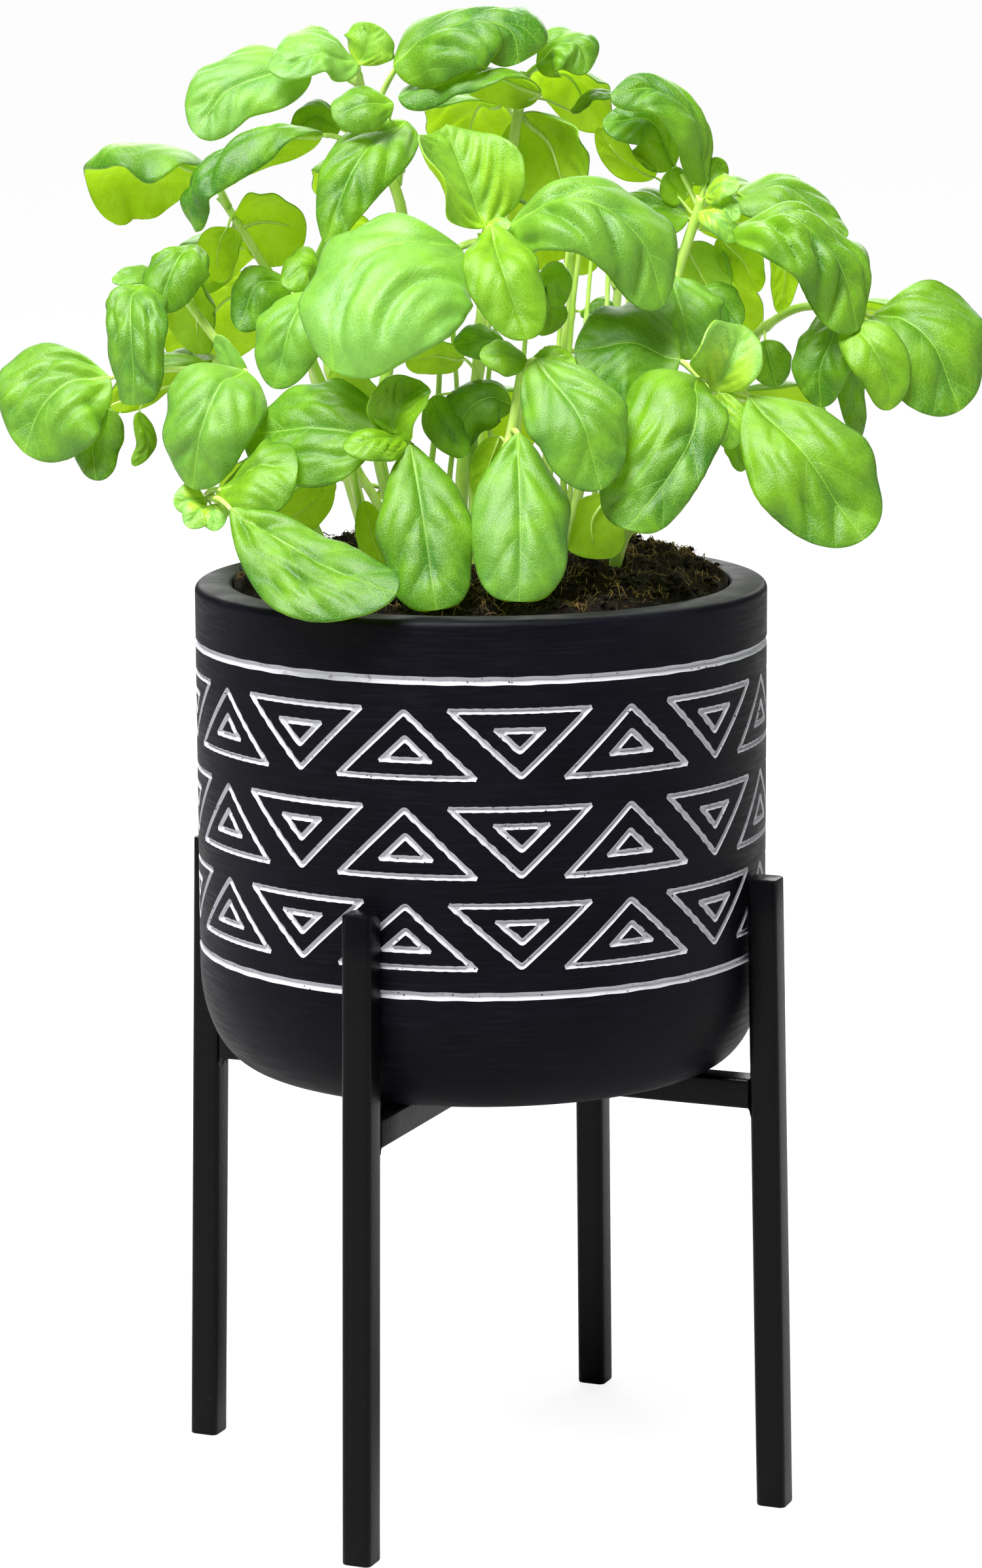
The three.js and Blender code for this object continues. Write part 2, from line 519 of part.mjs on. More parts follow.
for (const stem of STEMS) {
  place(`stem_${stem[0]}`, (grow) => shootSolid(stem, grow), STEM_GREEN);
}
place('soil', soilSolid, SOIL);
for (const [name, ...row] of LEAVES) {
  place(`leaf_${name}`, (grow) => leafSolid(row, grow), LEAF_GREEN);
}
basil.add(meshOf('pot', solidOf(lathe(potProfile(), POT_SEGMENTS)), CERAMIC));
for (const [name, azimuth] of Object.entries(LEG_AZIMUTHS)) {
  basil.add(meshOf(`leg_${name}`, legSolid(azimuth), BLACK_STEEL));
}
basil.add(meshOf('stand_cross', crossSolid(), BLACK_STEEL));

export default basil;
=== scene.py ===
import math
import random

import bpy
import bmesh
import numpy as np
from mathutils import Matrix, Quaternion, Vector, geometry, noise


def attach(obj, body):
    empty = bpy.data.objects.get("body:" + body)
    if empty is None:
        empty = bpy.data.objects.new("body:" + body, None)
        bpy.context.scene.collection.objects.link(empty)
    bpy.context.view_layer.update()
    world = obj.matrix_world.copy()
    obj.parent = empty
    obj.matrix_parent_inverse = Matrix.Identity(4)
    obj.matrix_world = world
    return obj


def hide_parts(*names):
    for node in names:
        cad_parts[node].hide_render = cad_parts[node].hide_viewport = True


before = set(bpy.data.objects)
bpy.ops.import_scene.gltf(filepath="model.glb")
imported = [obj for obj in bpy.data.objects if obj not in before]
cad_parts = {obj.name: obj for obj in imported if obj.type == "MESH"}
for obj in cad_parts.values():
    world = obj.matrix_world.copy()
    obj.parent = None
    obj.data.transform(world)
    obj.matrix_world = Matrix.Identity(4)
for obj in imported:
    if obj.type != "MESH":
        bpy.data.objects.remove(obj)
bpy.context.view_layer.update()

# A potted basil plant: leaves and stems grown along listed points, peat, an incised pot and a black
# steel stand. The tables and shapes are in millimetres; objects are in metres.
MM = 0.001
GAP = 0.3  # between two pieces that touch
UP = np.array([0, 0, 1.0])

# ---- Camera, as the object is seen: from the front, a little above ----
VIEW_DISTANCE = 1260
VIEW_HEIGHT = 420
VIEW_PITCH = 10.42
VIEW_ROLL = -0.26
LENS = 111.2
SHIFT_X = 0.0058

# ---- Light all round, beside the lamps ----
AMBIENT = 0.08

# ---- Pot ----
POT_RADIUS = 75.0
POT_BOTTOM = 116.0
POT_TOP = 243.0
POT_WALL = 10.0
POT_FLOOR = 10.0
POT_CORNER = (14.0, 26.0)
OUTER_LIP = 2.0
INNER_LIP = 1.5
# The band is the straight side, with two turned rings and three rows of triangles between them. In each row
# every sector has a triangle that points up and one that points down. Places round the pot are in degrees.
BAND_BOTTOM = 143.0
BAND_TOP = 240.5
RING_HEIGHTS = (147.7, 227.9)
RING_WIDTH = 2.1
GROOVE_WIDTH = 1.55
GROOVE_DEPTH = 0.75
ROWS = ((202.6, 221.1), (177.4, 196.3), (154.1, 171.7))
SECTORS = 8
PITCH = 180 / SECTORS
FIRST_DOWN = 7.5
HALF_BASE = 15.0
INNER_SIZE = 0.40
# In each row a sector's seam slants between two triangles, from one place to the other past FIRST_DOWN.
SEAM_LOW = 3.4
SEAM_HIGH = 18.8
SEAM_CLEARANCE = 1.2

# ---- Soil ----
SOIL_RADIUS = POT_RADIUS - POT_WALL - GAP
SOIL_EDGE = 241
SOIL_HEAP = 7
SOIL_TILT = 5
SOIL_BOTTOM = POT_BOTTOM + 14
CRUMBS = 1500
FIBRES = 1900

# ---- Stand ----
BAR = 8.0
BAR_CORNER = 1.5
CROSS_CORNER = 1.0
LEG_TOP = 169.0
LEG_FOOT_RADIUS = 83.0
LEG_TOP_RADIUS = POT_RADIUS + GAP + BAR / 2
LEG_AZIMUTHS = {"front_left": -22.5, "right": 67.5, "back": 157.5, "left": -112.5}

# ---- Leaves and stems ----
LEAF_THICKNESS = 0.4
LEAF_PEAK = 0.42
BASE_FULLNESS = 0.62
TIP_FULLNESS = 0.46
LEAF_EVENING = 0.75
SMALL_WIDTH = 18
YOUNG_TONE = 0.85
STEM_DEPTH = 8
KNOT_SPACING = 24.0
LOWEST_KNOT = 8

# Leaf rows: name, midrib points (on the stem, base of the blade, ..., tip), width, the way the upper side
# faces (six numbers where it turns, at the base and then at the tip), bend across the width in radians
# (negative is cupped), tone from 0, dark, to 1, young and yellow, where the widest part is, if that isn't
# LEAF_PEAK, and a power for the tip, if that isn't TIP_FULLNESS (more is narrower).
LEAVES = [
    ["top_left_long", [[-31,12,371], [-44,8,377], [-54,5,376.5], [-66,2,372], [-73,-1,359]],
     26, [-.15,-.75,.65], .7, .4],
    ["top_left_small", [[-31,12,371], [-31.5,3,377], [-42,-3,383], [-53.5,-6,375.5]],
     21, [-.1,-.6,.8], .6, .4],
    ["top_left_young", [[-31,12,374], [-31,7,376.5], [-29,5,381], [-27,6,387]],
     16, [0,-.85,.5], .9, .9, .5, .45],
    ["crown", [[-28,13.5,362], [-21.5,4,376], [-15.5,2,384], [-7,0,388.5], [2,-1,389.5],
     [8.5,-2,386], [10.5,-2,377]],
     36, [0,-.5,.85], 1.2, .3, .42, .38],
    ["under_crown", [[10,12,364], [16,4,369], [6,4,375.5], [-8,4,376], [-20.5,2,367.5]],
     28, [0,.5,.87,0,-.4,.9], 1.2, .35],
    ["round_upper", [[-25,14,352], [-22,-6,367], [-29,-11,367.5], [-37.5,-10,364]],
     16, [-.1,-.85,.5], .8, .45, .5, .4],
    ["dark_upper", [[-25,14,352], [-36,8,360], [-42,7,364], [-49,7,359]], 11, [0,-.75,.6], .5, .45],
    ["left_arched", [[-25,14,352], [-40.5,4,359], [-55.5,0,361], [-69,-4,354], [-76,-6,344],
     [-73,-7,334.5]],
     32, [-.3,.25,.9,-.75,-.3,.5], 1.5, .25, .42, .6],
    ["far_left_top", [[-66,20.5,339], [-71,17,349.5], [-81,15,355.5], [-93,14,355.5], [-103,13,348]],
     55, [0,.32,.95], 1.3, .4, .5, .3],
    ["left_backlit", [[-63,20.4,334], [-65,22,334], [-56,21,336], [-45.5,20,334]],
     27, [0,.85,.5], .9, .6, .5, .4],
    ["left_hanging", [[-21,15,345], [-18.5,3,362], [-26.5,-9,358], [-33,-16,350],
     [-37,-18,339.5], [-38.5,-18,330.5]],
     22, [-.2,-.85,.5], .7, .35, .4, .75],
    ["young_cup", [[1,-24,333], [1.8,-26,336.5], [-1,-26,346], [-5,-23,355], [-8.5,-18,362]],
     29, [.4,-.8,.35], -1.0, .95, .45, .85],
    ["bud_centre", [[1,-25,334], [1.5,-27,334.5], [4.5,-30,337.5], [8,-31,337.5]],
     7, [.1,-.75,.65], .5, 1.0],
    ["largest_front", [[1,-25,333], [-5,-28,332], [-14,-35,332], [-25,-43,325.5],
     [-34,-47,314], [-37,-47,302.5]],
     48, [-.3,-.8,.5], .65, .5, .45, .45],
    ["bright_front", [[1,-25,334], [3,-32,337.5], [6,-48,327.5], [12,-52,310.5]],
     21, [.1,-.9,.42], .6, .84, .5, .4],
    ["knobby_left", [[-78,2,319], [-74,1,330.5], [-77,-7,329.5], [-80.5,-11,322], [-82.5,-11,314.5]],
     20, [-.2,-.7,.7,-.1,-.95,.2], 1.0, .45, .4, .4],
    ["hanging_left", [[-79,2,319], [-86,-8,321], [-89.5,-16,319.5], [-89.5,-22,310],
     [-89,-23,300], [-88.7,-22,291.5]],
     21, [-.35,-.85,.4], 1.0, .35, .3, .2],
    ["far_left", [[-61,-4,297], [-96.5,-1,296.5], [-107,-4,296.5], [-115.5,-6,289], [-119,-6,277.5]],
     37, [-.25,-.8,.5], .5, .45, .5],
    ["far_left_lower", [[-62,-3,296], [-97,-4,289], [-101,-3,280], [-100,-5,270]],
     16, [-.3,-.8,.3], .9, .2],
    ["far_left_curl", [[-84,-5,296], [-88.5,-6,288], [-86.5,-7,280], [-90,-7,274]], 6, [.3,-.9,.2], .6, .8],
    ["left_inner_dark", [[-78,3,318], [-76,10,322], [-74,16,314], [-73,14,301]], 22, [.5,.75,.3], 1.0, .4],
    ["left_dark", [[-43,5,316], [-49.5,2,321], [-57.5,-2,321], [-62.5,-4,309]], 16, [-.2,-.8,.5], .8, .3],
    ["left_small", [[-43,5,318], [-41,-1,321], [-45,-5,325.5], [-51,-8,321]], 14, [-.1,-.8,.6], .8, .7],
    ["left_light", [[-42.6,3,314], [-43.8,-12,319.5], [-48,-20,313.5], [-50.5,-22,305],
     [-52.5,-21,295.5]],
     21, [-.2,-.85,.45], .6, .45],
    ["quilted_left", [[-61,-3,297], [-60,-20,299.5], [-66,-32,298.5], [-71,-38,286.5], [-73,-36,271.5]],
     30, [-.2,-.9,.4], .8, .4, .38, .45],
    ["left_broad", [[-19,-40,284], [-26,-40,286], [-43,-37,288], [-60,-27,284]], 34, [-.1,-.8,.6], .5, .45],
    ["young_left", [[-20,-40,283], [-19,-41.5,285.5], [-26,-48,286], [-34,-51,283]],
     15, [-.1,-.7,.7], .9, .9],
    ["young_curl_a", [[-20,-40,284], [-22.5,-41,285.5], [-20.5,-44,293], [-15,-39,299]],
     16, [0,-.85,.5], -1.2, .86],
    ["young_curl_b", [[-20,-40,284], [-21,-42,286], [-24,-42,291], [-23,-38,295]],
     7, [.2,-.85,.5], -.6, .7],
    ["matt_round", [[-18,-40,277], [-26,-29,288], [-32,-25,294.5], [-37,-23,301.5]],
     17, [.2,.85,.4], .4, .6],
    ["low_left", [[-70,-28,269], [-66,-37,271.5], [-57,-46,277], [-46,-46,277.5]],
     28, [.1,-.75,.6], .7, .6, .5, .35],
    ["matt_low_left", [[-57,-26,257], [-55.5,-22,261], [-47,-20,264], [-38,-16,271]],
     14, [.1,.8,.5], .5, .75],
    ["over_rim", [[-70,-28,268], [-63,-48,268], [-42,-68,254], [-21,-77,250.5]],
     25, [-.1,-.75,.65], .4, .45, .55],
    ["droop_left", [[-20,-40,284], [-17.5,-44,284], [-14.5,-58,268], [-12,-65,251], [-11,-66,244.5]],
     26, [0,-.95,.3], .7, .45, .56, .3],
    ["matt_standing", [[-16,-40.6,262], [-25,-26,250], [-28,-28,258], [-30,-27,267]],
     9, [-.3,.85,.3], .5, .6],
    ["young_low_a", [[-70,-28,268], [-70.5,-31,268.5], [-74,-34,268.5], [-78,-35,267.5]],
     9, [0,-.95,.3], .4, 1],
    ["young_low_b", [[-70,-28,268], [-70,-32,267], [-72,-37,265.5], [-74.5,-38,262]],
     9, [0,-.95,.3], .4, 1],
    ["droop_right", [[8,-36,286], [9.5,-44,286], [10,-58,268], [9.8,-65,252], [9.5,-66,246.5]],
     28, [.05,-.95,.3], .7, .45, .55, .3],
    ["dark_curly", [[8,-36,286], [8,-30,292], [3,-31,294.5], [-3,-31,291], [-7.4,-30,281]],
     16, [.2,-.8,.55], .9, .3],
    ["inner_left", [[-1,-25,294], [-12,-29,294], [-9,-33,287], [-4,-33,279]], 11, [.1,-.9,.4], .6, .5],
    ["matt_inner", [[7,-37,282], [5,-32,284], [2,-30,276], [-1,-29,269]], 10, [.2,.8,.3], .5, .3],
    ["small_dark", [[11,-35,301], [11.8,-40,304.5], [5,-43,306.5], [-.1,-42,305.6]],
     12, [0,-.8,.6], .8, .8],
    ["small_curled", [[11,-35,300], [12,-40,302.5], [17,-44,306], [24,-44,303.5]], 12, [0,-.7,.7], 1.0, .9],
    ["quilted_front", [[11,-35,302], [14,-46,305], [25,-60,292], [30,-62,274]],
     28, [.1,-.9,.42], .7, .4, .48],
    ["matt_behind", [[58,-29,296], [51,-28,303], [38,-29,309], [24,-28,305]], 38, [0,-.7,.7], .6, .3],
    ["round_right", [[51,8.5,320], [50,-4,322], [52,-14,315], [55,-16,302]], 24, [.05,-.85,.5], .6, .35],
    ["big_lower", [[59.5,-30,297], [55.5,-35,299], [51.5,-43,299], [46.3,-51,289.5],
     [40.4,-57,275.5], [36.7,-59,263.5]],
     31, [-.2,-.85,.5], .6, .45, .42, .3],
    ["young_right", [[60,-30,297], [59.6,-33,295.5], [63.6,-36,303.5], [66.8,-33,312]],
     16, [.15,-.9,.35], -.8, 1.0, .5, .5],
    ["curled_right", [[60,-30,296], [60.5,-34,295], [62.6,-37,289], [63.4,-36,281]],
     11, [-.3,-.9,.2], .9, 1.0],
    ["lower_right", [[60.5,-30,296], [68,-36,295], [82,-50,281], [96,-54,260]],
     34, [.15,-.88,.45], .45, .5, .55],
    ["right_hanging", [[88,10,313], [91.5,1,313.5], [91.5,-8,308], [87.5,-13,299], [88,-12,289]],
     19, [-.1,-.9,.35], .7, .35],
    ["right_behind", [[92,8.5,312], [97,8,309], [98,5,294], [99,3,279]], 12, [.6,-.7,.2], .6, .3],
    ["right_flat", [[93,8.3,313], [95,-12,311.5], [101,-19,305], [105,-20,296], [105,-19,289]],
     16, [.1,-.95,.3], .3, .8],
    ["far_right", [[93.5,8,313], [101.5,-1,311.5], [109,-8,312.5], [117,-13,306], [123.8,-16,288.5]],
     36, [.25,-.85,.45], .4, .42, .45],
    ["dark_right", [[75,18,307], [75,14,304], [76,12,300], [78,12,292]], 12, [0,-.9,.3], .4, .3],
    ["right_arched", [[57,5.5,338], [66,-6,336], [79,-14,339], [92,-16,329], [97,-15,309]],
     32, [.1,-.45,.9], .9, .45],
    ["right_upper", [[58,5.5,340], [66,10,341.5], [80,12,345.5], [96,10,331.5]],
     24, [.05,-.45,.9], .8, .45],
    ["bud_right_a", [[58,5,340], [58.5,0,342.5], [62.5,-5,346], [67,-6,345.5]], 9, [0,-.8,.6], .6, 1.0],
    ["bud_right_b", [[57,5.5,335], [57.2,-3,339], [60.8,-9,338], [65.5,-9,331.5]], 8, [0,-.8,.6], .8, 1.0],
    ["bud_right_c", [[57,5.5,336], [60,-2,338.5], [63.5,-5,340.5], [67,-7,337.5]], 8, [0,-.9,.4], .6, .95],
    ["bud_right_d", [[58,5,341], [58.6,6,344.5], [61,7,348], [63,6,352]], 8, [0,-.9,.4], .6, .5],
    ["top_right", [[57.5,5,341], [59,6,346], [57,2,361], [46,0,371], [34,-2,368.5]],
     20, [.5,-.55,.7], .8, .4],
    ["top_right_fold", [[57,5.5,339], [51,12,350], [44,8,363], [32,4,361]], 20, [-.1,-.7,.7], .9, .35],
    ["top_right_lit", [[56,6,337], [46,14,347], [38,14,352], [31,12,360]], 12, [.3,.7,.6], .6, .8],
    ["back_small", [[11,13,368], [24,20,364], [30,18,369], [36,16,368]], 10, [0,-.3,.95], .5, .4],
    ["top_right_small", [[11.5,13.5,372], [15,12,376], [20,10,382], [26,7,382], [28.5,6,374.5]],
     19, [.1,-.6,.8], .9, .4],
    ["centre_backlit", [[10,12,362], [11,14,363], [19,17,357], [24,17,339]], 34, [.35,.75,.45], 1.0, .5],
    ["centre_right", [[1,-24,334], [7,-26,337], [18,-31,344], [31,-34,343.5], [41.5,-35,334],
     [46.5,-35,317.5]],
     33, [.1,-.6,.8], .8, .45],
    ["right_inner", [[56.5,6,335], [54.5,8,336.5], [46.5,8,341], [36.5,6,341]], 20, [0,-.5,.85], .6, .35],
    ["matt_right", [[55,7,330], [54,13,329.5], [58,15,322], [63,14,313]], 18, [.1,.9,.2], .5, .3],
    ["lit_pointing", [[57,5.5,334], [63,9,332], [69,11,326], [73,11,317]], 13, [.3,.8,.4], .6, 1.0],
    ["right_under", [[66,10,344], [79,14,331], [80,14,321], [79,14,311]], 8, [0,.9,.2], .6, 1.0],
    ["young_back", [[57.5,5,341], [55,10,342.5], [51.7,9,344.5], [48.5,8,348]], 11, [0,-.9,.3], .6, 1.0],
    ["beside_bright", [[0,-24,316], [14,-20,322], [19,-22,324], [21,-22,316]], 10, [0,-.8,.5], .7, .75],
    ["beside_bright_b", [[0,-24,314], [13,-18,318], [18,-16,314], [16,-14,308]], 10, [0,-.8,.5], .7, .6],
    ["gap_dark", [[24,30,310], [27,24,311], [31,20,314], [35,18,310]], 9, [0,-.5,.8], .6, .3],
    ["right_dark", [[50,9,318], [57,6,318], [62,4,317], [68,2,309]], 12, [0,-.7,.6], .6, .3],
    ["matt_low_right", [[41,-17,262], [33,-18,268], [28.5,-22,261], [30,-25,251.5]],
     18, [0,.9,.2], .4, .7, .6, .3],
    ["under_largest", [[0,-24,306], [6.2,-28,308], [0,-34,309], [-6.6,-34,307.5]], 12, [0,-.8,.5], .6, .3],
    ["under_pale", [[-1,-25,300], [-4,-26,303.5], [-11,-27,305], [-19,-27,302.5]], 13, [0,.7,.6], .5, .85],
    ["left_pale", [[-78,3,319], [-84,10,320], [-89,10,323], [-96,8,321]], 8, [0,-.6,.8], .4, .7],
    ["left_yellow", [[-65,20.4,337], [-66,17,334], [-68,13,329], [-68,11,320]], 12, [.2,.9,.2], .5, 1.0],
    ["back_left_big", [[-50,58,312], [-54,60,314], [-70,73,312], [-83,79,292]], 38, [-.3,.8,.5], .6, .4],
    ["back_left_mid", [[-43,54,286], [-44,60,288], [-44,74,284], [-42,80,262]], 32, [0,.9,.4], .7, .4],
    ["back_left_top", [[-50,58,314], [-47,60,318], [-37,70,330], [-23,76,320]], 30, [.1,.6,.8], .7, .4],
    ["back_left_low", [[-33,46,262], [-40,52,264], [-58,64,266], [-72,70,254]], 26, [-.2,.7,.7], .6, .45],
    ["back_centre_low", [[0,60,284], [0,64,286], [2,77,284], [4,82,262]], 34, [0,.85,.5], .6, .4],
    ["back_right_big", [[38,62,315], [43,64,317], [60,75,314], [74,79,294]], 38, [.3,.8,.5], .6, .4],
    ["back_right_mid", [[34,58,292], [35,62,292], [38,76,284], [40,81,264]], 30, [0,.9,.4], .7, .4],
    ["back_right_top", [[37,61,314], [33,65,323], [20,73,333], [4,77,320]], 30, [0,.6,.8], .7, .4],
    ["back_right_low", [[60,36,284], [66,44,287], [80,58,285], [92,66,266]], 32, [.4,.75,.5], .6, .45],
    ["back_right_side", [[89,10,313], [93,16,315], [108,28,311], [117,32,293]], 28, [.5,.6,.6], .6, .45],
    ["back_top_left", [[-20,15,340], [-27,26,349], [-33,42,352], [-38,54,338]], 28, [-.2,.6,.8], .7, .4],
    ["back_top_centre", [[10,12,362], [6,26,366], [0,42,366], [-5,56,350]], 32, [0,.6,.8], .8, .4],
    ["back_top_right", [[58,5.5,341], [61,16,345], [65,34,346], [67,50,328]], 30, [.2,.6,.8], .7, .4],
    ["back_crown", [[12,14,373], [16,24,375], [25,38,373], [32,47,357]], 24, [.2,.5,.8], .7, .5],
    ["back_left_side", [[-60,-2,295], [-70,12,300], [-86,28,300], [-97,36,284]], 30, [-.5,.5,.7], .6, .4],
    ["back_left_upper", [[-58,20,326], [-61,30,329], [-70,46,330], [-78,55,314]], 26, [-.3,.7,.6], .6, .4],
    ["back_inner", [[24,30,325], [23,37,333], [13,52,341], [2,60,330]], 24, [-.1,.6,.8], .6, .4],
    ["back_right_inner", [[23,31,300], [27,34,299], [40,38,299], [50,40,288]], 22, [.2,.6,.8], .6, .4],
    ["back_low_left", [[-34,47,262], [-26,52,261], [-20,66,262], [-16,76,252]], 22, [0,.8,.6], .6, .5],
    ["back_low_right", [[50,38,268], [48,46,268], [45,60,264], [44,72,252]], 22, [.1,.8,.6], .6, .5],
    ["young_low_c", [[-70,-28,268], [-68.8,-32,267], [-67.8,-37,265], [-67.3,-38,261]],
     8, [0,-.95,.3], .4, 1],
    ["curled_right_b", [[61,-29,292], [63.5,-29,285], [65.8,-30,279], [66.8,-29,274.5]],
     7, [-.3,-.9,.2], .6, .6],
    ["matt_on_stem", [[-61,-2.5,297], [-61,-6,295], [-64.5,-8,300.5], [-68,-8,308]],
     7, [-.5,-.8,.3], .4, .8],
]

# Stem rows: name, points from the soil up, radius.
STEMS = [
    ["left_long", [[-36,10,246], [-48,5,265], [-56,0,280], [-61,-3,297], [-70,0,308], [-79,3,320]], 1.4],
    ["left_back", [[-27,22,247], [-36,21,275], [-45,20,300], [-58,20,326], [-68,21,342]], 1.4],
    ["left_low", [[-46,-24,243], [-58,-26,258], [-66,-28,266], [-70,-28,270]], 1.2],
    ["left_inner", [[-22,4,246], [-27,5,262], [-33,5,273], [-39,5,295], [-43,5,321]], 1.3],
    ["tall_left", [[-16,15,247], [-27,13,275], [-24,15,300], [-20,15,336], [-26,14,355], [-32,12,374]],
     1.7],
    ["tall_centre", [[-4,2,246], [-5,3,270], [0,4,300], [6,8,336], [10,12,363], [12,14,374]], 1.7],
    ["front_right", [[4,-40,243], [5,-38,270], [8,-36,288], [11,-35,304]], 1.4],
    ["front_centre", [[0,-26,245], [-2,-25,280], [0,-24,310], [1,-24,335]], 1.5],
    ["front_left", [[-10,-43,243], [-14,-41,265], [-20,-40,286]], 1.4],
    ["right_front", [[33,-12,246], [37,-14,256], [48,-22,275], [60,-30,298]], 1.7],
    ["right_tall", [[27,18,247], [36,16,275], [45,12,300], [52,8,323], [58,5,342]], 1.7],
    ["right_back", [[34,36,246], [50,38,268], [60,36,284], [68,28,298], [75,18,307],
     [84,10,313], [95,8,313]],
     1.4],
    ["back_centre", [[15,30,247], [20,31,290], [24,30,312], [24,30,326]], 1.3],
    ["back_left", [[-28,42,246], [-38,50,270], [-46,56,295], [-50,58,314]], 1.5],
    ["back_right", [[22,46,246], [30,54,275], [36,60,300], [38,62,318]], 1.5],
    ["back_low", [[0,46,246], [0,56,270], [0,60,286]], 1.3],
]

# Thinner stems, deep between those.
THIN_STEMS = [
    ["thin_a", [[24,22,245], [22,20,275], [24,24,306], [27,22,334]], 0.9],
    ["thin_b", [[30,18,245], [31,14,280], [33,14,306], [34,14,333]], 0.8],
    ["thin_c", [[22,8,245], [24,6,270], [27,12,300], [30,14,334]], 0.7],
    ["thin_d", [[16,12,245], [19,14,275], [21,20,306], [24,22,335]], 0.7],
    ["thin_e", [[36,30,245], [38,24,285], [39,20,305], [40,16,332]], 1.0],
    ["thin_f", [[-12,-10,246], [-13,-12,270], [-11,-16,290], [-10,-22,312]], 0.9],
    ["thin_g", [[-6,-18,246], [-8,-17,270], [-6,-18,290], [-7,-22,310]], 0.8],
    ["thin_h", [[2,-10,246], [3,-12,272], [2,-14,296], [5,-18,316]], 0.8],
    ["thin_i", [[-28,-8,246], [-31,-12,262], [-33,-12,276], [-32,-10,290]], 0.9],
    ["thin_j", [[-20,-14,246], [-22,-18,262], [-25,-20,274], [-28,-20,286]], 0.8],
    ["thin_k", [[20,-22,244], [22,-24,256], [25,-24,270], [27,-22,286]], 0.9],
    ["thin_l", [[8,-8,246], [9,-10,270], [11,-12,300], [13,-14,322]], 0.8],
]

# Where a leaf's midrib lies off its middle line, as a share of half the width.
MIDRIB_OFFSET = {"largest_front": 0.4, "big_lower": -0.5, "top_left_small": -0.4, "over_rim": -0.35,
                 "top_left_long": -0.15, "low_left": -0.2}
# Leaves paled to a matt colour: their own bloom on young and matt leaves, a painted sheen on older ones.
BLOOM_AND_PAINTED_SHEEN = {"largest_front": 0.45, "quilted_left": 0.2, "top_left_long": 0.35, "top_left_small": 0.45,
         "top_left_young": 0.35, "left_light": 0.2, "round_right": 0.2, "centre_right": 0.15,
         "droop_right": 0.15, "quilted_front": 0.1, "far_left": 0.1, "bud_centre": 0.8,
         "bud_right_b": 0.8, "bud_right_a": 0.5, "bud_right_c": 0.5, "matt_round": 0.35, "under_pale": 0.5,
         "matt_on_stem": 0.6, "matt_low_left": 0.45, "matt_low_right": 0.2, "matt_right": 0.35,
         "hanging_left": 0.1, "young_cup": 0.2, "young_right": 0.5, "curled_right": 0.4, "young_low_a": 0.8,
         "young_low_b": 0.8, "young_low_c": 0.8, "left_pale": 0.4}
# Young cups with one margin rolled in, in radians.
ROLLED = {"young_cup": 0.4, "young_right": 0.35}
# Leaves that arch both ways, whose sections turn less than their midrib does, as a share.
STEADY = {"far_left_top": 0.6}
# Folds along a leaf: place from its midrib as a share of half the width, start, end and depth.
FOLDS = {"largest_front": ((-0.15, 0.3, 0.95, 1.7), (-0.7, 0.12, 0.85, 1.8), (-1.2, 0.05, 0.7, 1.0)),
         "crown": ((0.45, 0.1, 0.6, 0.5), (-0.4, 0.5, 1.0, 0.4)),
         "hanging_left": ((0.45, 0.1, 0.7, 0.9), (-0.5, 0.2, 0.9, 0.8)),
         "left_arched": ((-0.35, 0.1, 0.8, 1.1), (0.4, 0.3, 0.9, 0.8)),
         "far_left": ((0.4, 0.1, 0.9, 0.9), (-0.45, 0.1, 0.8, 1.0)),
         "big_lower": ((0.5, 0.3, 1.0, 0.6), (0.95, 0.2, 0.9, 0.5)),
         "right_arched": ((0.4, 0.1, 0.8, 0.9), (-0.4, 0.3, 1.0, 0.8)),
         "lower_right": ((0.45, 0.2, 0.9, 0.7), (-0.45, 0.1, 0.8, 0.7)),
         "over_rim": ((0.5, 0.2, 0.9, 0.5), (0.95, 0.2, 0.8, 0.4)),
         "left_broad": ((0.45, 0.1, 0.8, 0.8), (-0.45, 0.1, 0.8, 0.8))}
# Leaves whose side veins are sunk deeper, or less deep, than most, as a factor.
PLEATED = {"young_cup": 1.1, "young_right": 0.6, "curled_right": 1.3, "largest_front": 0.45,
           "left_arched": 1.7, "far_left_top": 0.6, "far_left": 1.7, "right_arched": 1.5, "right_upper": 1.3,
           "top_right": 1.5, "hanging_left": 1.6, "big_lower": 1.2, "crown": 1.4, "left_broad": 1.4,
           "quilted_left": 1.1, "knobby_left": 1.4, "quilted_front": 1.4, "centre_right": 1.3,
           "top_left_long": 0.9}
# Gap between a blade and the midrib below it. It is less than nothing where the midrib is sunk in.
RIB_CLEARANCE = {"largest_front": 0.6}
FOLDED_CLEARANCE = 0.25
FLAT_CLEARANCE = -0.1


# ---------------------------------------------------------------- meshes
def linked(name, data):
    """An object in the scene that holds this data."""
    obj = bpy.data.objects.new(name, data)
    bpy.context.collection.objects.link(obj)
    return obj


def clean_mesh(obj, sharp=35, merge=None):
    """Joins points within merge, turns faces outwards and keeps edges sharper than an angle in degrees."""
    mesh = bmesh.new()
    mesh.from_mesh(obj.data)
    if merge:
        bmesh.ops.remove_doubles(mesh, verts=mesh.verts, dist=merge)
    bmesh.ops.recalc_face_normals(mesh, faces=mesh.faces)
    mesh.to_mesh(obj.data)
    mesh.free()
    obj.data.set_sharp_from_angle(angle=math.radians(sharp))


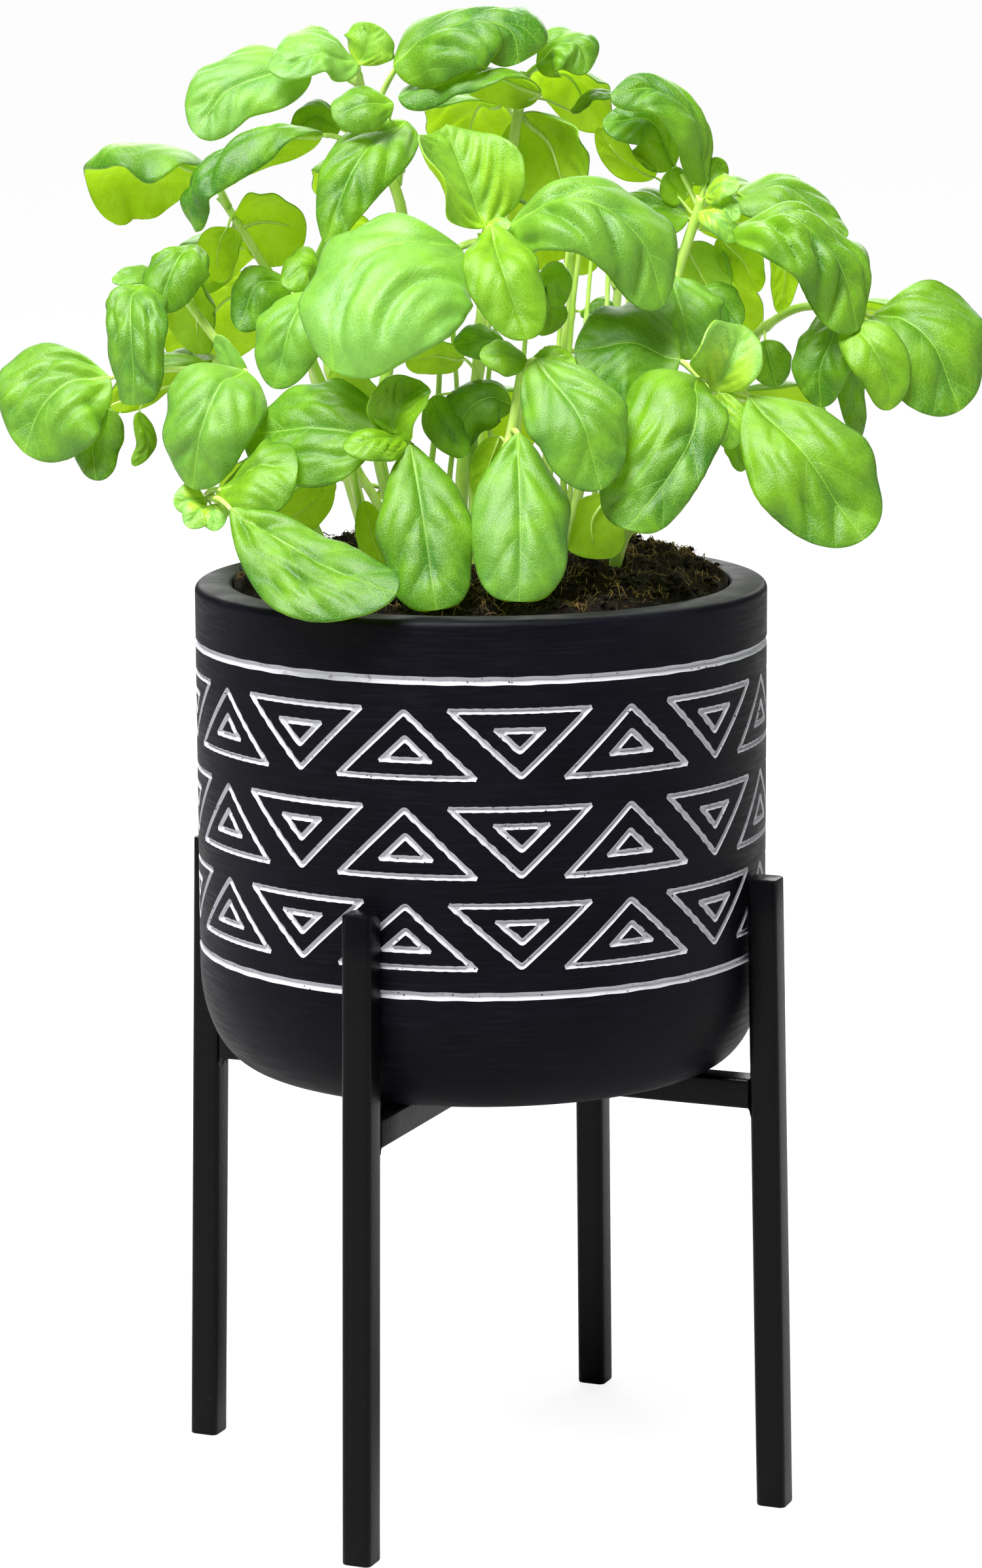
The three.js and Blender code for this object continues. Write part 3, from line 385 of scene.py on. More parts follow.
class Parts:
    """Gathers points, in millimetres, and faces that become one mesh object."""

    def __init__(self):
        self.verts, self.faces, self.slots, self.smooth = [], [], [], []
        self.count = 0

    def add(self, verts, faces, slot=0, smooth=True):
        """slot is a material's place. It and smooth are one value for all the faces, or a list of theirs."""
        self.faces += [[int(k) + self.count for k in face] for face in faces]
        self.slots += slot if isinstance(slot, list) else [slot] * len(faces)
        self.smooth += smooth if isinstance(smooth, list) else [smooth] * len(faces)
        self.verts.append(np.asarray(verts, float))
        self.count += len(verts)

    def build(self, name, materials):
        mesh = bpy.data.meshes.new(name)
        mesh.from_pydata(np.vstack(self.verts) * MM, [], self.faces)
        for material in materials:
            mesh.materials.append(material)
        mesh.polygons.foreach_set("material_index", self.slots)
        mesh.polygons.foreach_set("use_smooth", self.smooth)
        mesh.update()
        return linked(name, mesh)


def new_object(name, verts, faces, material):
    parts = Parts()
    parts.add(verts, faces)
    return parts.build(name, [material])


def grid_faces(rows, columns, start=0, flip=False, close=False):
    """Quads of a grid of points; close joins its last column to its first."""
    faces = []
    for i in range(rows - 1):
        for j in range(columns if close else columns - 1):
            a, b = start + i * columns + j, start + i * columns + (j + 1) % columns
            quad = (a, b, b + columns, a + columns)
            faces.append(quad[::-1] if flip else quad)
    return faces


def unit(v):
    return v / np.maximum(np.linalg.norm(v, axis=-1, keepdims=True), 1e-9)


def smoothstep(x):
    x = np.clip(x, 0, 1)
    return x * x * (3 - 2 * x)


def ellipse(x, y, a, b, start, end, n):
    """Points along a stretch of an ellipse, between two angles in degrees."""
    angles = [math.radians(start + (end - start) * k / n) for k in range(n + 1)]
    return [(x + a * math.cos(angle), y + b * math.sin(angle)) for angle in angles]


def path(points, fractions, per=30):
    """Points and directions at fractions of a centripetal Catmull-Rom curve's length, and that length."""
    points = np.asarray(points, float)
    ext = np.vstack([2 * points[0] - points[1], points, 2 * points[-1] - points[-2]])
    t = np.linspace(0, 1, per + 1)[1:, None]
    dense = [points[0]]
    for i in range(len(points) - 1):
        p0, p1, p2, p3 = ext[i:i + 4]
        d0, d1, d2 = (max(np.linalg.norm(b - a) ** 0.5, 1e-4) for a, b in ((p0, p1), (p1, p2), (p2, p3)))
        t1 = ((p1 - p0) / d0 - (p2 - p0) / (d0 + d1) + (p2 - p1) / d1) * d1
        t2 = ((p2 - p1) / d1 - (p3 - p1) / (d1 + d2) + (p3 - p2) / d2) * d1
        square = -3 * p1 + 3 * p2 - 2 * t1 - t2
        cube = 2 * p1 - 2 * p2 + t1 + t2
        dense.extend(p1 + t1 * t + square * t * t + cube * t ** 3)
    dense = np.array(dense)
    run = np.r_[0, np.cumsum(np.linalg.norm(np.diff(dense, axis=0), axis=1))]
    length = run[-1]

    def at(f):
        f = np.clip(f, 0, 1) * length
        return np.stack([np.interp(f, run, dense[:, k]) for k in range(3)], -1)

    return at(fractions), unit(at(fractions + 0.004) - at(fractions - 0.004)), length


def tube(points, directions, radii, sides, squareness=1.0, start_normal=(0.3, -1, 0.2)):
    """A closed tube. Its section runs from round, at squareness 0, to a rounded square at 1."""
    normal = np.asarray(start_normal, float)
    angles = np.arange(sides) * 2 * math.pi / sides
    c, s = np.cos(angles), np.sin(angles)
    shape = 1 / (np.abs(c) ** 4 + np.abs(s) ** 4) ** 0.25
    shape = 1 + (shape - 1) * squareness
    rings = []
    for p, d, r in zip(points, directions, radii):
        normal = unit(normal - d * (normal @ d))
        side = np.cross(d, normal)
        rings.append(p + r * ((c * shape)[:, None] * normal + (s * shape)[:, None] * side))
    verts = np.vstack(rings + [points[:1], points[-1:]])
    faces = grid_faces(len(points), sides, close=True)
    first, last, end = len(verts) - 2, len(verts) - 1, (len(points) - 1) * sides
    for j in range(sides):
        k = (j + 1) % sides
        faces += [(first, k, j), (last, end + j, end + k)]
    return verts, faces


# ---------------------------------------------------------------- materials
class Nodes:
    """A material's node tree with short ways to add to it. An input is a value or another node's output."""

    def __init__(self, name):
        self.material = bpy.data.materials.new(name)
        self.material.use_nodes = True
        self.tree = self.material.node_tree
        self.tree.nodes.clear()
        self.output = self.tree.nodes.new("ShaderNodeOutputMaterial")

    def node(self, kind, inputs=None, **settings):
        node = self.tree.nodes.new("ShaderNode" + kind)
        for key, value in settings.items():
            setattr(node, key, value)
        for key, value in (inputs or {}).items():
            if isinstance(value, bpy.types.NodeSocket):
                self.tree.links.new(value, node.inputs[key])
            else:
                node.inputs[key].default_value = value
        return node

    def math(self, operation, a, b=0.0):
        return self.node("Math", {0: a, 1: b}, operation=operation).outputs[0]

    def weighted(self, *pairs):
        """The sum of some values, each times its weight."""
        terms = [self.math("MULTIPLY", value, weight) for value, weight in pairs]
        total = terms[0]
        for term in terms[1:]:
            total = self.math("ADD", total, term)
        return total

    def ramp(self, value, low, high, out_low=0.0, out_high=1.0):
        limits = {"From Min": low, "From Max": high, "To Min": out_low, "To Max": out_high}
        return self.node("MapRange", {"Value": value, **limits},
                         interpolation_type="SMOOTHSTEP").outputs["Result"]

    def mix(self, factor, a, b):
        return self.node("Mix", {0: factor, 6: a, 7: b}, data_type="RGBA", clamp_factor=True).outputs[2]

    def noise(self, vector, scale, detail=3.0, roughness=0.55):
        inputs = {"Vector": vector, "Scale": scale, "Detail": detail, "Roughness": roughness}
        return self.node("TexNoise", inputs).outputs["Fac"]

    def voronoi(self, vector, scale, **settings):
        return self.node("TexVoronoi", {"Vector": vector, "Scale": scale}, **settings).outputs

    def attribute(self, name):
        return self.node("Attribute", attribute_name=name).outputs["Fac"]

    def object_vector(self, scale=(1, 1, 1)):
        coord = self.node("TexCoord").outputs["Object"]
        return self.node("Mapping", {"Vector": coord, "Scale": scale}).outputs["Vector"]

    def bump(self, height, strength, distance):
        inputs = {"Height": height, "Strength": strength, "Distance": distance}
        return self.node("Bump", inputs).outputs["Normal"]

    def principled(self, colour, roughness, **more):
        """A glossy surface. more names further inputs, with _ for a space."""
        inputs = {"Base Color": colour, "Roughness": roughness}
        inputs.update((key.replace("_", " "), value) for key, value in more.items())
        return self.node("BsdfPrincipled", inputs).outputs[0]

    def blend(self, factor, a, b):
        """A shader between two others."""
        return self.node("MixShader", {0: factor, 1: a, 2: b}).outputs[0]

    def finish(self, shader):
        self.tree.links.new(shader, self.output.inputs["Surface"])
        return self.material


def rgb(r, g, b):
    """A colour from 0-255 screen values."""
    linear = [(v / 255 / 12.92) if v <= 10 else ((v / 255 + 0.055) / 1.055) ** 2.4 for v in (r, g, b)]
    return (*linear, 1.0)


def leaf_material(name, under):
    """Skin of a leaf: UV map vein holds the side veins' count and the distance from the midrib, about in
    millimetres, and sheet the place on the blade, 100 mm to 1."""
    n = Nodes(name)
    vein = n.node("UVMap", uv_map="vein").outputs["UV"]
    sheet = n.node("UVMap", uv_map="sheet").outputs["UV"]
    # tone: the leaf's tone; on the upper side it also holds painted shade in the blade's hollows.
    tone = n.attribute("tone")
    parts = n.node("SeparateXYZ", {0: vein}).outputs
    lateral = n.math("PINGPONG", parts[0], 0.5)
    from_midrib = n.math("ABSOLUTE", parts[1])
    side_fade = n.ramp(from_midrib, 5.0, 16.0, 1, 0.3)
    side_line = n.math("MULTIPLY", n.ramp(lateral, 0.004, 0.018, 0.6, 0), side_fade)
    side_glow = n.math("MULTIPLY", n.ramp(lateral, 0.0, 0.13, 1, 0), side_fade)
    veins = n.math("MAXIMUM", side_line, n.ramp(from_midrib, 0.08, 0.27, 1, 0))
    glow = n.math("MAXIMUM", side_glow, n.ramp(from_midrib, 0.2, 2.0, 1, 0))
    cells = n.voronoi(sheet, 46.0, feature="DISTANCE_TO_EDGE", voronoi_dimensions="2D")["Distance"]
    net = n.ramp(cells, 0.0, 0.16, 1, 0)
    patches = n.noise(sheet, 9.0, 4.0)
    cloud = n.noise(sheet, 30.0, 3.0, 0.6)
    grain = n.noise(sheet, 260.0, 2.0, 0.6)
    if under:
        dark, light, pale = rgb(88, 138, 20), rgb(160, 200, 24), rgb(160, 196, 70)
        vein_colour = rgb(190, 216, 118)
        net_height, vein_height, roughness = 0.2, 0.9, (0.60, 0.72)
        specular, sheen, translucence = 0.2, 0.0, 0.46
    else:
        dark, light, pale = rgb(24, 92, 0), rgb(132, 182, 0), rgb(116, 172, 16)
        vein_colour = rgb(164, 206, 76)
        net_height, vein_height, roughness = -0.07, 0.5, (0.35, 0.47)
        specular, sheen, translucence = 0.48, 0.04, 0.21
    # The colour leaves are paled towards: yellow on young leaves, their own bloom; whitish green on older
    # ones, a painted sheen.
    bloom_and_sheen_colour = n.mix(n.ramp(tone, 0.6, 0.8), rgb(132, 190, 94), rgb(178, 212, 66))
    colour = n.mix(n.attribute("bloom"), n.mix(tone, dark, light), bloom_and_sheen_colour)
    colour = n.mix(n.ramp(patches, 0.42, 0.72, 0.0, 0.5), colour, pale)
    colour = n.mix(n.ramp(cloud, 0.3, 0.62, 0.30, 0.0), colour, n.mix(0.55, colour, rgb(24, 78, 2)))
    colour = n.mix(n.math("MULTIPLY", glow, 0.07), colour, pale)
    colour = n.mix(n.math("MULTIPLY", net, 0.04), colour, vein_colour)
    colour = n.mix(n.ramp(grain, 0.48, 0.7, 0.0, 0.22), colour, vein_colour)
    colour = n.mix(n.math("MULTIPLY", veins, 0.38), colour, vein_colour)
    speck = n.voronoi(sheet, 30.0, voronoi_dimensions="2D")
    rare = n.ramp(n.node("SeparateXYZ", {0: speck["Color"]}).outputs[0], 0.86, 0.9)
    spot = n.math("MULTIPLY", n.ramp(speck["Distance"], 0.025, 0.07, 1, 0), rare)
    colour = n.mix(n.math("MULTIPLY", spot, 0.6), colour, rgb(70, 82, 20))
    height = n.weighted((grain, 0.7), (net, net_height), (cloud, 0.5), (veins, vein_height))
    normal = n.bump(height, 0.55, 0.0004)
    surface = n.principled(colour, n.ramp(cloud, 0.3, 0.7, *roughness), Normal=normal,
                           Specular_IOR_Level=specular, Sheen_Weight=sheen, Sheen_Roughness=0.45)
    through = n.node("BsdfTranslucent", {"Color": n.mix(0.5, colour, rgb(176, 222, 0)), "Normal": normal})
    outside = n.blend(translucence, surface, through.outputs[0])
    inside = n.node("BsdfTransparent", {"Color": (1, 1, 1, 1)}).outputs[0]
    return n.finish(n.blend(n.node("NewGeometry").outputs["Backfacing"], outside, inside))


def stem_material():
    n = Nodes("stem_green")
    streak = n.noise(n.object_vector((1, 1, 0.12)), 900.0, 2.0)
    patch = n.noise(n.object_vector(), 60.0)
    colour = n.mix(n.ramp(patch, 0.3, 0.7), rgb(160, 200, 76), rgb(206, 226, 140))
    colour = n.mix(n.ramp(streak, 0.35, 0.7, 0.0, 0.5), colour, rgb(168, 200, 78))
    return n.finish(n.principled(colour, 0.42, Normal=n.bump(streak, 0.25, 0.0003), Subsurface_Weight=0.25,
                                 Subsurface_Scale=0.0015, Subsurface_Radius=(0.9, 1.0, 0.3)))


def soil_material():
    n = Nodes("damp_peat")
    where = n.object_vector()
    coarse = n.noise(where, 120.0, 6.0, 0.7)
    fine = n.noise(where, 700.0, 5.0, 0.7)
    colour = n.mix(n.ramp(coarse, 0.35, 0.68), rgb(4, 2, 1), rgb(30, 20, 9))
    colour = n.mix(n.ramp(fine, 0.58, 0.70, 0.0, 0.65), colour, rgb(104, 78, 34))
    normal = n.bump(n.weighted((coarse, 1.0), (fine, 0.5)), 1.0, 0.0018)
    return n.finish(n.principled(colour, 0.85, Normal=normal, Specular_IOR_Level=0.12))


def fibre_material():
    n = Nodes("peat_fibre")
    patch = n.noise(n.object_vector(), 90.0, 2.0)
    colour = n.mix(n.ramp(patch, 0.42, 0.62), rgb(48, 34, 14), rgb(140, 108, 50))
    return n.finish(n.principled(colour, 0.7))


def pot_material():
    n = Nodes("charcoal_ceramic")
    where = n.object_vector()
    brushed = n.noise(n.object_vector((0.5, 0.5, 9)), 160.0, 4.0, 0.6)
    cloud = n.noise(where, 22.0, 4.0, 0.6)
    grain = n.noise(where, 1500.0, 3.0, 0.6)
    colour = n.mix(n.ramp(cloud, 0.3, 0.7), rgb(3, 3, 7), rgb(10, 9, 17))
    colour = n.mix(n.ramp(brushed, 0.45, 0.8, 0.0, 0.4), colour, rgb(26, 26, 36))
    scratches = n.ramp(n.noise(n.object_vector((0.35, 0.35, 3)), 420.0, 5.0, 0.7), 0.66, 0.78)
    scuff = n.math("MULTIPLY", scratches, n.ramp(n.noise(where, 38.0, 2.0), 0.55, 0.7))
    colour = n.mix(n.math("MULTIPLY", scuff, 0.55), colour, rgb(120, 122, 130))
    pit = n.ramp(n.voronoi(where, 260.0)["Distance"], 0.05, 0.12, 1, 0)
    colour = n.mix(n.math("MULTIPLY", pit, 0.8), colour, rgb(8, 8, 10))
    normal = n.bump(n.weighted((brushed, 0.5), (pit, -1.0), (grain, 0.3)), 0.35, 0.0003)
    roughness = n.ramp(brushed, 0.3, 0.7, 0.42, 0.56)
    return n.finish(n.principled(colour, roughness, Normal=normal, Specular_IOR_Level=0.07))


def groove_material():
    n = Nodes("chalk_white_line")
    where = n.object_vector()
    worn = n.noise(where, 380.0, 5.0, 0.7)
    colour = n.mix(n.ramp(worn, 0.56, 0.72, 0.0, 0.75), rgb(174, 174, 180), rgb(98, 94, 94))
    specks = n.ramp(n.voronoi(where, 420.0)["Distance"], 0.08, 0.14, 1, 0)
    colour = n.mix(specks, colour, rgb(30, 30, 34))
    return n.finish(n.principled(colour, 0.85, Normal=n.bump(worn, 0.5, 0.0004)))


def steel_material():
    n = Nodes("black_powder_coat")
    where = n.object_vector()
    peel = n.noise(where, 900.0, 2.0, 0.5)
    dust = n.noise(where, 1600.0, 3.0, 0.7)
    colour = n.mix(n.ramp(dust, 0.68, 0.76, 0.0, 0.35), rgb(4, 4, 6), rgb(56, 56, 64))
    chip = n.ramp(n.noise(where, 420.0, 4.0, 0.6), 0.755, 0.78)
    colour = n.mix(n.math("MULTIPLY", chip, 0.7), colour, rgb(110, 72, 48))
    return n.finish(n.principled(colour, 0.33, Normal=n.bump(peel, 0.3, 0.0003), Specular_IOR_Level=0.12))


LEAF_TOP = leaf_material("leaf_upper", False)
LEAF_UNDER = leaf_material("leaf_under", True)
STEM = stem_material()
PEAT = soil_material()
FIBRE = fibre_material()
CHARCOAL = pot_material()
CHALK = groove_material()
COAT = steel_material()


# ---------------------------------------------------------------- leaves
def noise_grid(u, v, seed):
    """Smooth noise, about -1 to 1, at a grid of places."""
    flat = [noise.noise(Vector((a, b, seed))) for a, b in zip(np.ravel(u), np.ravel(v))]
    return np.array(flat).reshape(np.shape(u))


def half_width(u, width, peak, tip):
    """Half a blade's width at fractions of its length."""
    skew = math.log(0.5) / math.log(peak)
    fullness = BASE_FULLNESS + (tip - BASE_FULLNESS) * smoothstep((u - 0.35) / 0.5)
    return np.maximum(width / 2 * np.sin(np.pi * np.minimum(u ** skew, 1)) ** fullness, 0.25)


def midrib_frames(name, points, face, u):
    """A midrib's points, the way its upper side faces and the way across it there, and its length."""
    middle, along, length = path(points, u)
    turn = u[:, None]
    upper = unit(unit(np.array(face[:3])) * (1 - turn) + unit(np.array(face[-3:])) * turn)
    normal = unit(upper - np.sum(along * upper, axis=1, keepdims=True) * along)
    # sections are evened towards the chord, so that they don't cross in a tight bend
    chord = unit(middle[-1] - middle[0])
    level = unit(chord - (normal @ chord)[:, None] * normal)
    share = LEAF_EVENING * np.clip(np.sum(level * along, axis=1, keepdims=True), 0, 1)
    sideways = unit(np.cross(unit(along * (1 - share) + level * share), normal))
    steady = STEADY.get(name, 0)
    normal = unit(normal * (1 - steady) + unit(normal.mean(axis=0)) * steady)
    return middle, normal, sideways, length


def blade_relief(name, s, across, edge, u, width, length, young, rng):
    """How far the upper side stands off the bare bent sheet, and the running count of side veins."""
    veins, swelling, pleating, valley = (4.6, 0.22, 0.28, 0.034) if young else (3.6, 0.07, 0.12, 0.026)
    spacing = length / veins
    reach = np.abs(across) / (width / 2)
    count = (s - (1.0 + 0.8 * reach) * np.abs(across)) / spacing + rng.uniform(0.1, 0.4)
    count = count + np.where(across > 0, rng.uniform(0.1, 0.4), 0)
    seed = rng.uniform(0, 90)
    # a pleat along each side vein, and a soft swelling between two
    apart = spacing / np.sqrt(1 + (1 + 1.6 * reach) ** 2)
    beside = np.abs((count + 0.5) % 1 - 0.5) * apart
    pleat = np.exp(-(beside / (0.16 * apart + 0.25)) ** 2)
    swell = 1 - (2 * beside / apart - 1) ** 2
    belt = smoothstep(edge / 0.25) * smoothstep((1.03 - edge) / 0.38)
    belt = belt * smoothstep(u / 0.12) * smoothstep((1 - u) / 0.2)
    uneven = np.clip(0.75 + 1.4 * noise_grid(s / width * 2.0, across / width * 2.0, seed), 0.05, 1.8)
    strength = (1.0 if young else rng.uniform(0.6, 1.1)) * PLEATED.get(name, 1.0)
    rise = strength * apart * belt * uneven * (swelling * swell - pleating * pleat)
    # the midrib lies in a narrow valley within a wide one
    ends = smoothstep(u / 0.15) * smoothstep((1 - u) / 0.3)
    rise -= valley * width * ends * np.exp(-(across / (0.15 * width)) ** 2)
    rise -= (0.022 * width + 0.15) * ends * np.exp(-(across / (0.03 * width + 0.25)) ** 2)
    # the margin waves and turns down
    phase = rng.uniform(0, 6.28)
    wave = np.sin(2 * math.pi * (2.6 * u + 0.3 * (across > 0)) + phase) + 0.5 * np.sin(11.7 * u + 2 * phase)
    rise += 0.022 * width * edge ** 3 * wave * np.sin(np.pi * np.clip(u, 0, 1)) ** 0.5
    rise -= 0.018 * width * edge ** 4
    # folds that run lengthwise
    for place, start, stop, depth in FOLDS.get(name, ()):
        aside = (across - place * width / 2) / (0.032 * width)
        shape = -np.exp(-aside ** 2) + 0.35 * np.exp(-((np.abs(aside) - 2.2) / 1.1) ** 2)
        rise += depth * shape * smoothstep((u - start) / 0.22) * smoothstep((stop - u) / 0.22)
    # hollows and small dents anywhere
    rise += 0.045 * width * noise_grid(s / width * 1.7, across / width * 1.7, seed + 20)
    rise += 0.010 * width * noise_grid(s / width * 6, across / width * 6, seed + 40)
    return rise, count


def plate_faces(rows, columns):
    """Faces of a thin plate between two grids of points, with their materials and whether they are smooth."""
    size = rows * columns
    faces = grid_faces(rows, columns) + grid_faces(rows, columns, start=size, flip=True)
    sides = len(faces) // 2
    for i in range(rows - 1):
        a, b = i * columns, i * columns + columns - 1
        faces.append((a, a + columns, a + columns + size, a + size))
        faces.append((b, b + size, b + columns + size, b + columns))
    for j in range(columns - 1):
        far = (rows - 1) * columns + j
        faces.append((j, j + size, j + 1 + size, j + 1))
        faces.append((far, far + 1, far + 1 + size, far + size))
    rim = len(faces) - 2 * sides
    return faces, [0] * sides + [1] * sides + [0] * rim, [True] * (2 * sides) + [False] * rim


def stalk(root, first, normal, ridge, thick, steps):
    """A leaf's stalk from its stem to the blade, running on along a ridge as the midrib."""
    root = np.asarray(root, float)
    bow = (root + first) / 2 + UP * (0.06 * np.linalg.norm(first - root))
    points, directions, _ = path(np.vstack([root, bow, first, ridge]), np.linspace(0, 1, steps), 12)
    return tube(points, directions, thick * np.linspace(1.1, 0.25, steps), 8, start_normal=normal)


def add_maps(mesh, uvs, values):
    """Gives a leaf's mesh its UV maps, the same on both sides of the blade, and a value for every point."""
    for key, numbers in values.items():
        mesh.attributes.new(key, "FLOAT", "POINT").data.foreach_set("value", numbers)
    corners = np.empty(len(mesh.loops), np.int32)
    mesh.loops.foreach_get("vertex_index", corners)
    for key, pairs in uvs.items():
        full = np.zeros((len(mesh.vertices), 2), np.float32)
        full[:2 * len(pairs)] = np.vstack([pairs, pairs])
        mesh.uv_layers.new(name=key).data.foreach_set("uv", full[corners].ravel())


def leaf(row, rng):
    """One leaf: a closed thin blade with sunk veins, on a stalk that runs on as its midrib."""
    name, points, width, face, curl, tone = row[:6]
    peak, tip = row[6:] + [LEAF_PEAK, TIP_FULLNESS][len(row) - 6:]
    young = tone >= YOUNG_TONE
    if width < SMALL_WIDTH:
        rows, columns, teeth, stalk_size, stalk_steps = 30, 21, 9, 0.45, 22
    else:
        rows, columns, teeth, stalk_size, stalk_steps = 58, 37, 13, 0.65, 34
    u = (1 - np.cos(np.pi * np.linspace(0, 1, rows))) / 2
    t = np.linspace(-1, 1, columns)
    t = t * (0.8 + 0.2 * np.abs(t))
    middle, normal, sideways, length = midrib_frames(name, points[1:], face, u)
    half = half_width(u, width, peak, tip)
    offset = MIDRIB_OFFSET.get(name, 0) * half * np.sin(np.pi * u) ** 0.8
    tooth = np.abs((u * teeth + rng.random()) % 1 - 0.35)
    half = half * (1 + 0.014 * tooth * smoothstep((u - 0.3) / 0.3))
    # grids over the blade: millimetres across and along it, its margins at edge 1 and its tip at along 1
    across, edge, s, along = np.broadcast_arrays(t * half[:, None], np.abs(t), (u * length)[:, None],
                                                 u[:, None])
    from_midrib = across - offset[:, None]
    rise, count = blade_relief(name, s, from_midrib, edge, along, width, length, young, rng)
    radius = width / 2 / curl
    roll = smoothstep((-t - 0.72) / 0.28) * smoothstep(along / 0.4) * smoothstep((1 - along) / 0.15)
    angle = across / radius - ROLLED.get(name, 0) * roll * np.sign(radius)
    lift = np.cos(angle)[..., None] * normal[:, None] + np.sin(angle)[..., None] * sideways[:, None]
    sheet = middle[:, None] + radius * (lift - normal[:, None])
    top = sheet + lift * (rise + LEAF_THICKNESS / 2)[..., None]
    low = sheet + lift * (rise - LEAF_THICKNESS / 2)[..., None]
    taper = 0.55 + 0.9 * along ** 1.5
    vein = np.stack([count, from_midrib * taper / (width / 38) ** 0.5], -1).reshape(-1, 2)
    place = np.stack([s / 100, across / 100], -1).reshape(-1, 2) + [rng.uniform(0, 3), rng.uniform(0, 3)]
    parts = Parts()
    parts.add(np.vstack([top.reshape(-1, 3), low.reshape(-1, 3)]), *plate_faces(rows, columns))
    thick = stalk_size * (0.7 + width / 80)
    rib = np.arange(rows), np.argmin(np.abs(from_midrib), axis=1)
    clear = RIB_CLEARANCE.get(name, FOLDED_CLEARANCE if name in FOLDS else FLAT_CLEARANCE)
    ridge = low[rib] - lift[rib] * (thick * (1 - 0.75 * u) + clear)[:, None]
    first = middle[0] - normal[0] * (thick * 0.6)
    parts.add(*stalk(points[0], first, normal[0], ridge[u < 0.85][3::4], thick, stalk_steps), 2)
    obj = parts.build("basil_" + name, [LEAF_TOP, LEAF_UNDER, STEM])
    # The upper side's tone: paler at the base, darker towards the margins and the tip, with painted shade
    # where the blade sinks into hollows and vein valleys.
    painted_shade_in_hollows = np.clip(-rise / (0.05 * width) - 0.15, 0, 1)
    tone_with_painted_shade = 0.14 + 0.85 * (tone - 0.25) + 0.26 * (1 - along) ** 2 + rng.uniform(-0.04, 0.04)
    tone_with_painted_shade = tone_with_painted_shade - 0.16 * edge ** 3 - 0.10 * along ** 2 - 0.28 * painted_shade_in_hollows
    size = rows * columns
    tones_with_painted_shade = np.full(parts.count, tone, np.float32)
    tones_with_painted_shade[:size] = np.clip(tone_with_painted_shade, 0, 1).ravel()
    tones_with_painted_shade[size:2 * size] = np.clip(0.3 + 0.7 * tone, 0, 1)
    # How far the leaf is paled: its own bloom on young and matt leaves, a painted sheen on older ones.
    bloom_and_sheen_values = np.full(parts.count, BLOOM_AND_PAINTED_SHEEN.get(name, 0.0), np.float32)
    add_maps(obj.data, {"vein": vein, "sheet": place}, {"tone": tones_with_painted_shade, "bloom": bloom_and_sheen_values})
    return obj


rng = random.Random(7)
for row in LEAVES:
    piece = leaf(row, rng)
    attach(piece, "root")
    if "leaf_" + row[0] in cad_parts:
        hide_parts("leaf_" + row[0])


# ---------------------------------------------------------------- stems
def stem(name, points, radius, sides=12):
    """A squarish stem that wanders a little, thicker at its knots, with its foot in the soil."""
    points = [list(p) for p in points]
    points[0][2] -= STEM_DEPTH
    total = sum(math.dist(a, b) for a, b in zip(points, points[1:]))
    f = np.linspace(0, 1, max(int(total / 1.6), 12))
    pts, dirs, length = path(points, f)
    radii = radius * (1.02 - 0.30 * f)
    for knot in np.arange(length, LOWEST_KNOT, -KNOT_SPACING) / length:
        radii += 0.28 * radius * np.exp(-((f - knot) * length / 1.4) ** 2)
    wander = [[noise.noise(Vector((p[2] * 0.05, k * 9.7, radius * 3))) for k in range(2)] + [0] for p in pts]
    verts, faces = tube(pts + 0.35 * np.array(wander), dirs, radii, sides, squareness=0.75)
    obj = new_object("shoot_" + name, verts, faces, STEM)
    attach(obj, "root")
    return obj


for name, points, radius in STEMS:
    piece = stem(name, points, radius)
    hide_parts("stem_" + name)

for name, points, radius in THIN_STEMS:
    stem(name, points, radius, 8)


# ---------------------------------------------------------------- soil
def lumps(x, y):
    """How far crumbs and clods stand out of the even surface of the soil."""
    clods = noise.fractal(Vector((x * 0.09, y * 0.09, 2.0)), 0.6, 2.1, 5)
    crumbs = 1 - abs(noise.noise(Vector((x * 0.33, y * 0.33, 5.0)))) * 2
    grit = noise.noise(Vector((x * 1.3, y * 1.3, 8.0)))
    return 2.8 * clods + 1.3 * crumbs + 0.8 * grit


def ground(x, y, fade=1.0):
    """Height of the soil, which is heaped in the middle and rises to the back."""
    r = np.hypot(x, y) / SOIL_RADIUS
    even = SOIL_EDGE + SOIL_HEAP * (1 - r ** 3) + SOIL_TILT * (1 + y / SOIL_RADIUS) * 0.5
    return float(even) + lumps(x, y) * fade


def circle(radius, count):
    angles = [2 * math.pi * j / count for j in range(count)]
    return [(radius * math.cos(a), radius * math.sin(a)) for a in angles]


def soil_block(rings=96, around=260):
    """The lumpy top, ring by ring from its middle, and its straight side."""
    verts = []
    for i in range(rings + 1):
        r = SOIL_RADIUS * i / rings
        fade = min(1.0, (SOIL_RADIUS - r) / 4 + 0.35)
        verts += [(x, y, ground(x, y, fade) - 0.6) for x, y in circle(r, around)]
    verts += [(x, y, SOIL_BOTTOM) for x, y in circle(SOIL_RADIUS, around)]
    return verts, grid_faces(rings + 2, around, close=True, flip=True)


def random_place(pick):
    r = SOIL_RADIUS * math.sqrt(pick.random()) * 0.97
    a = pick.uniform(0, 2 * math.pi)
    return r * math.cos(a), r * math.sin(a)


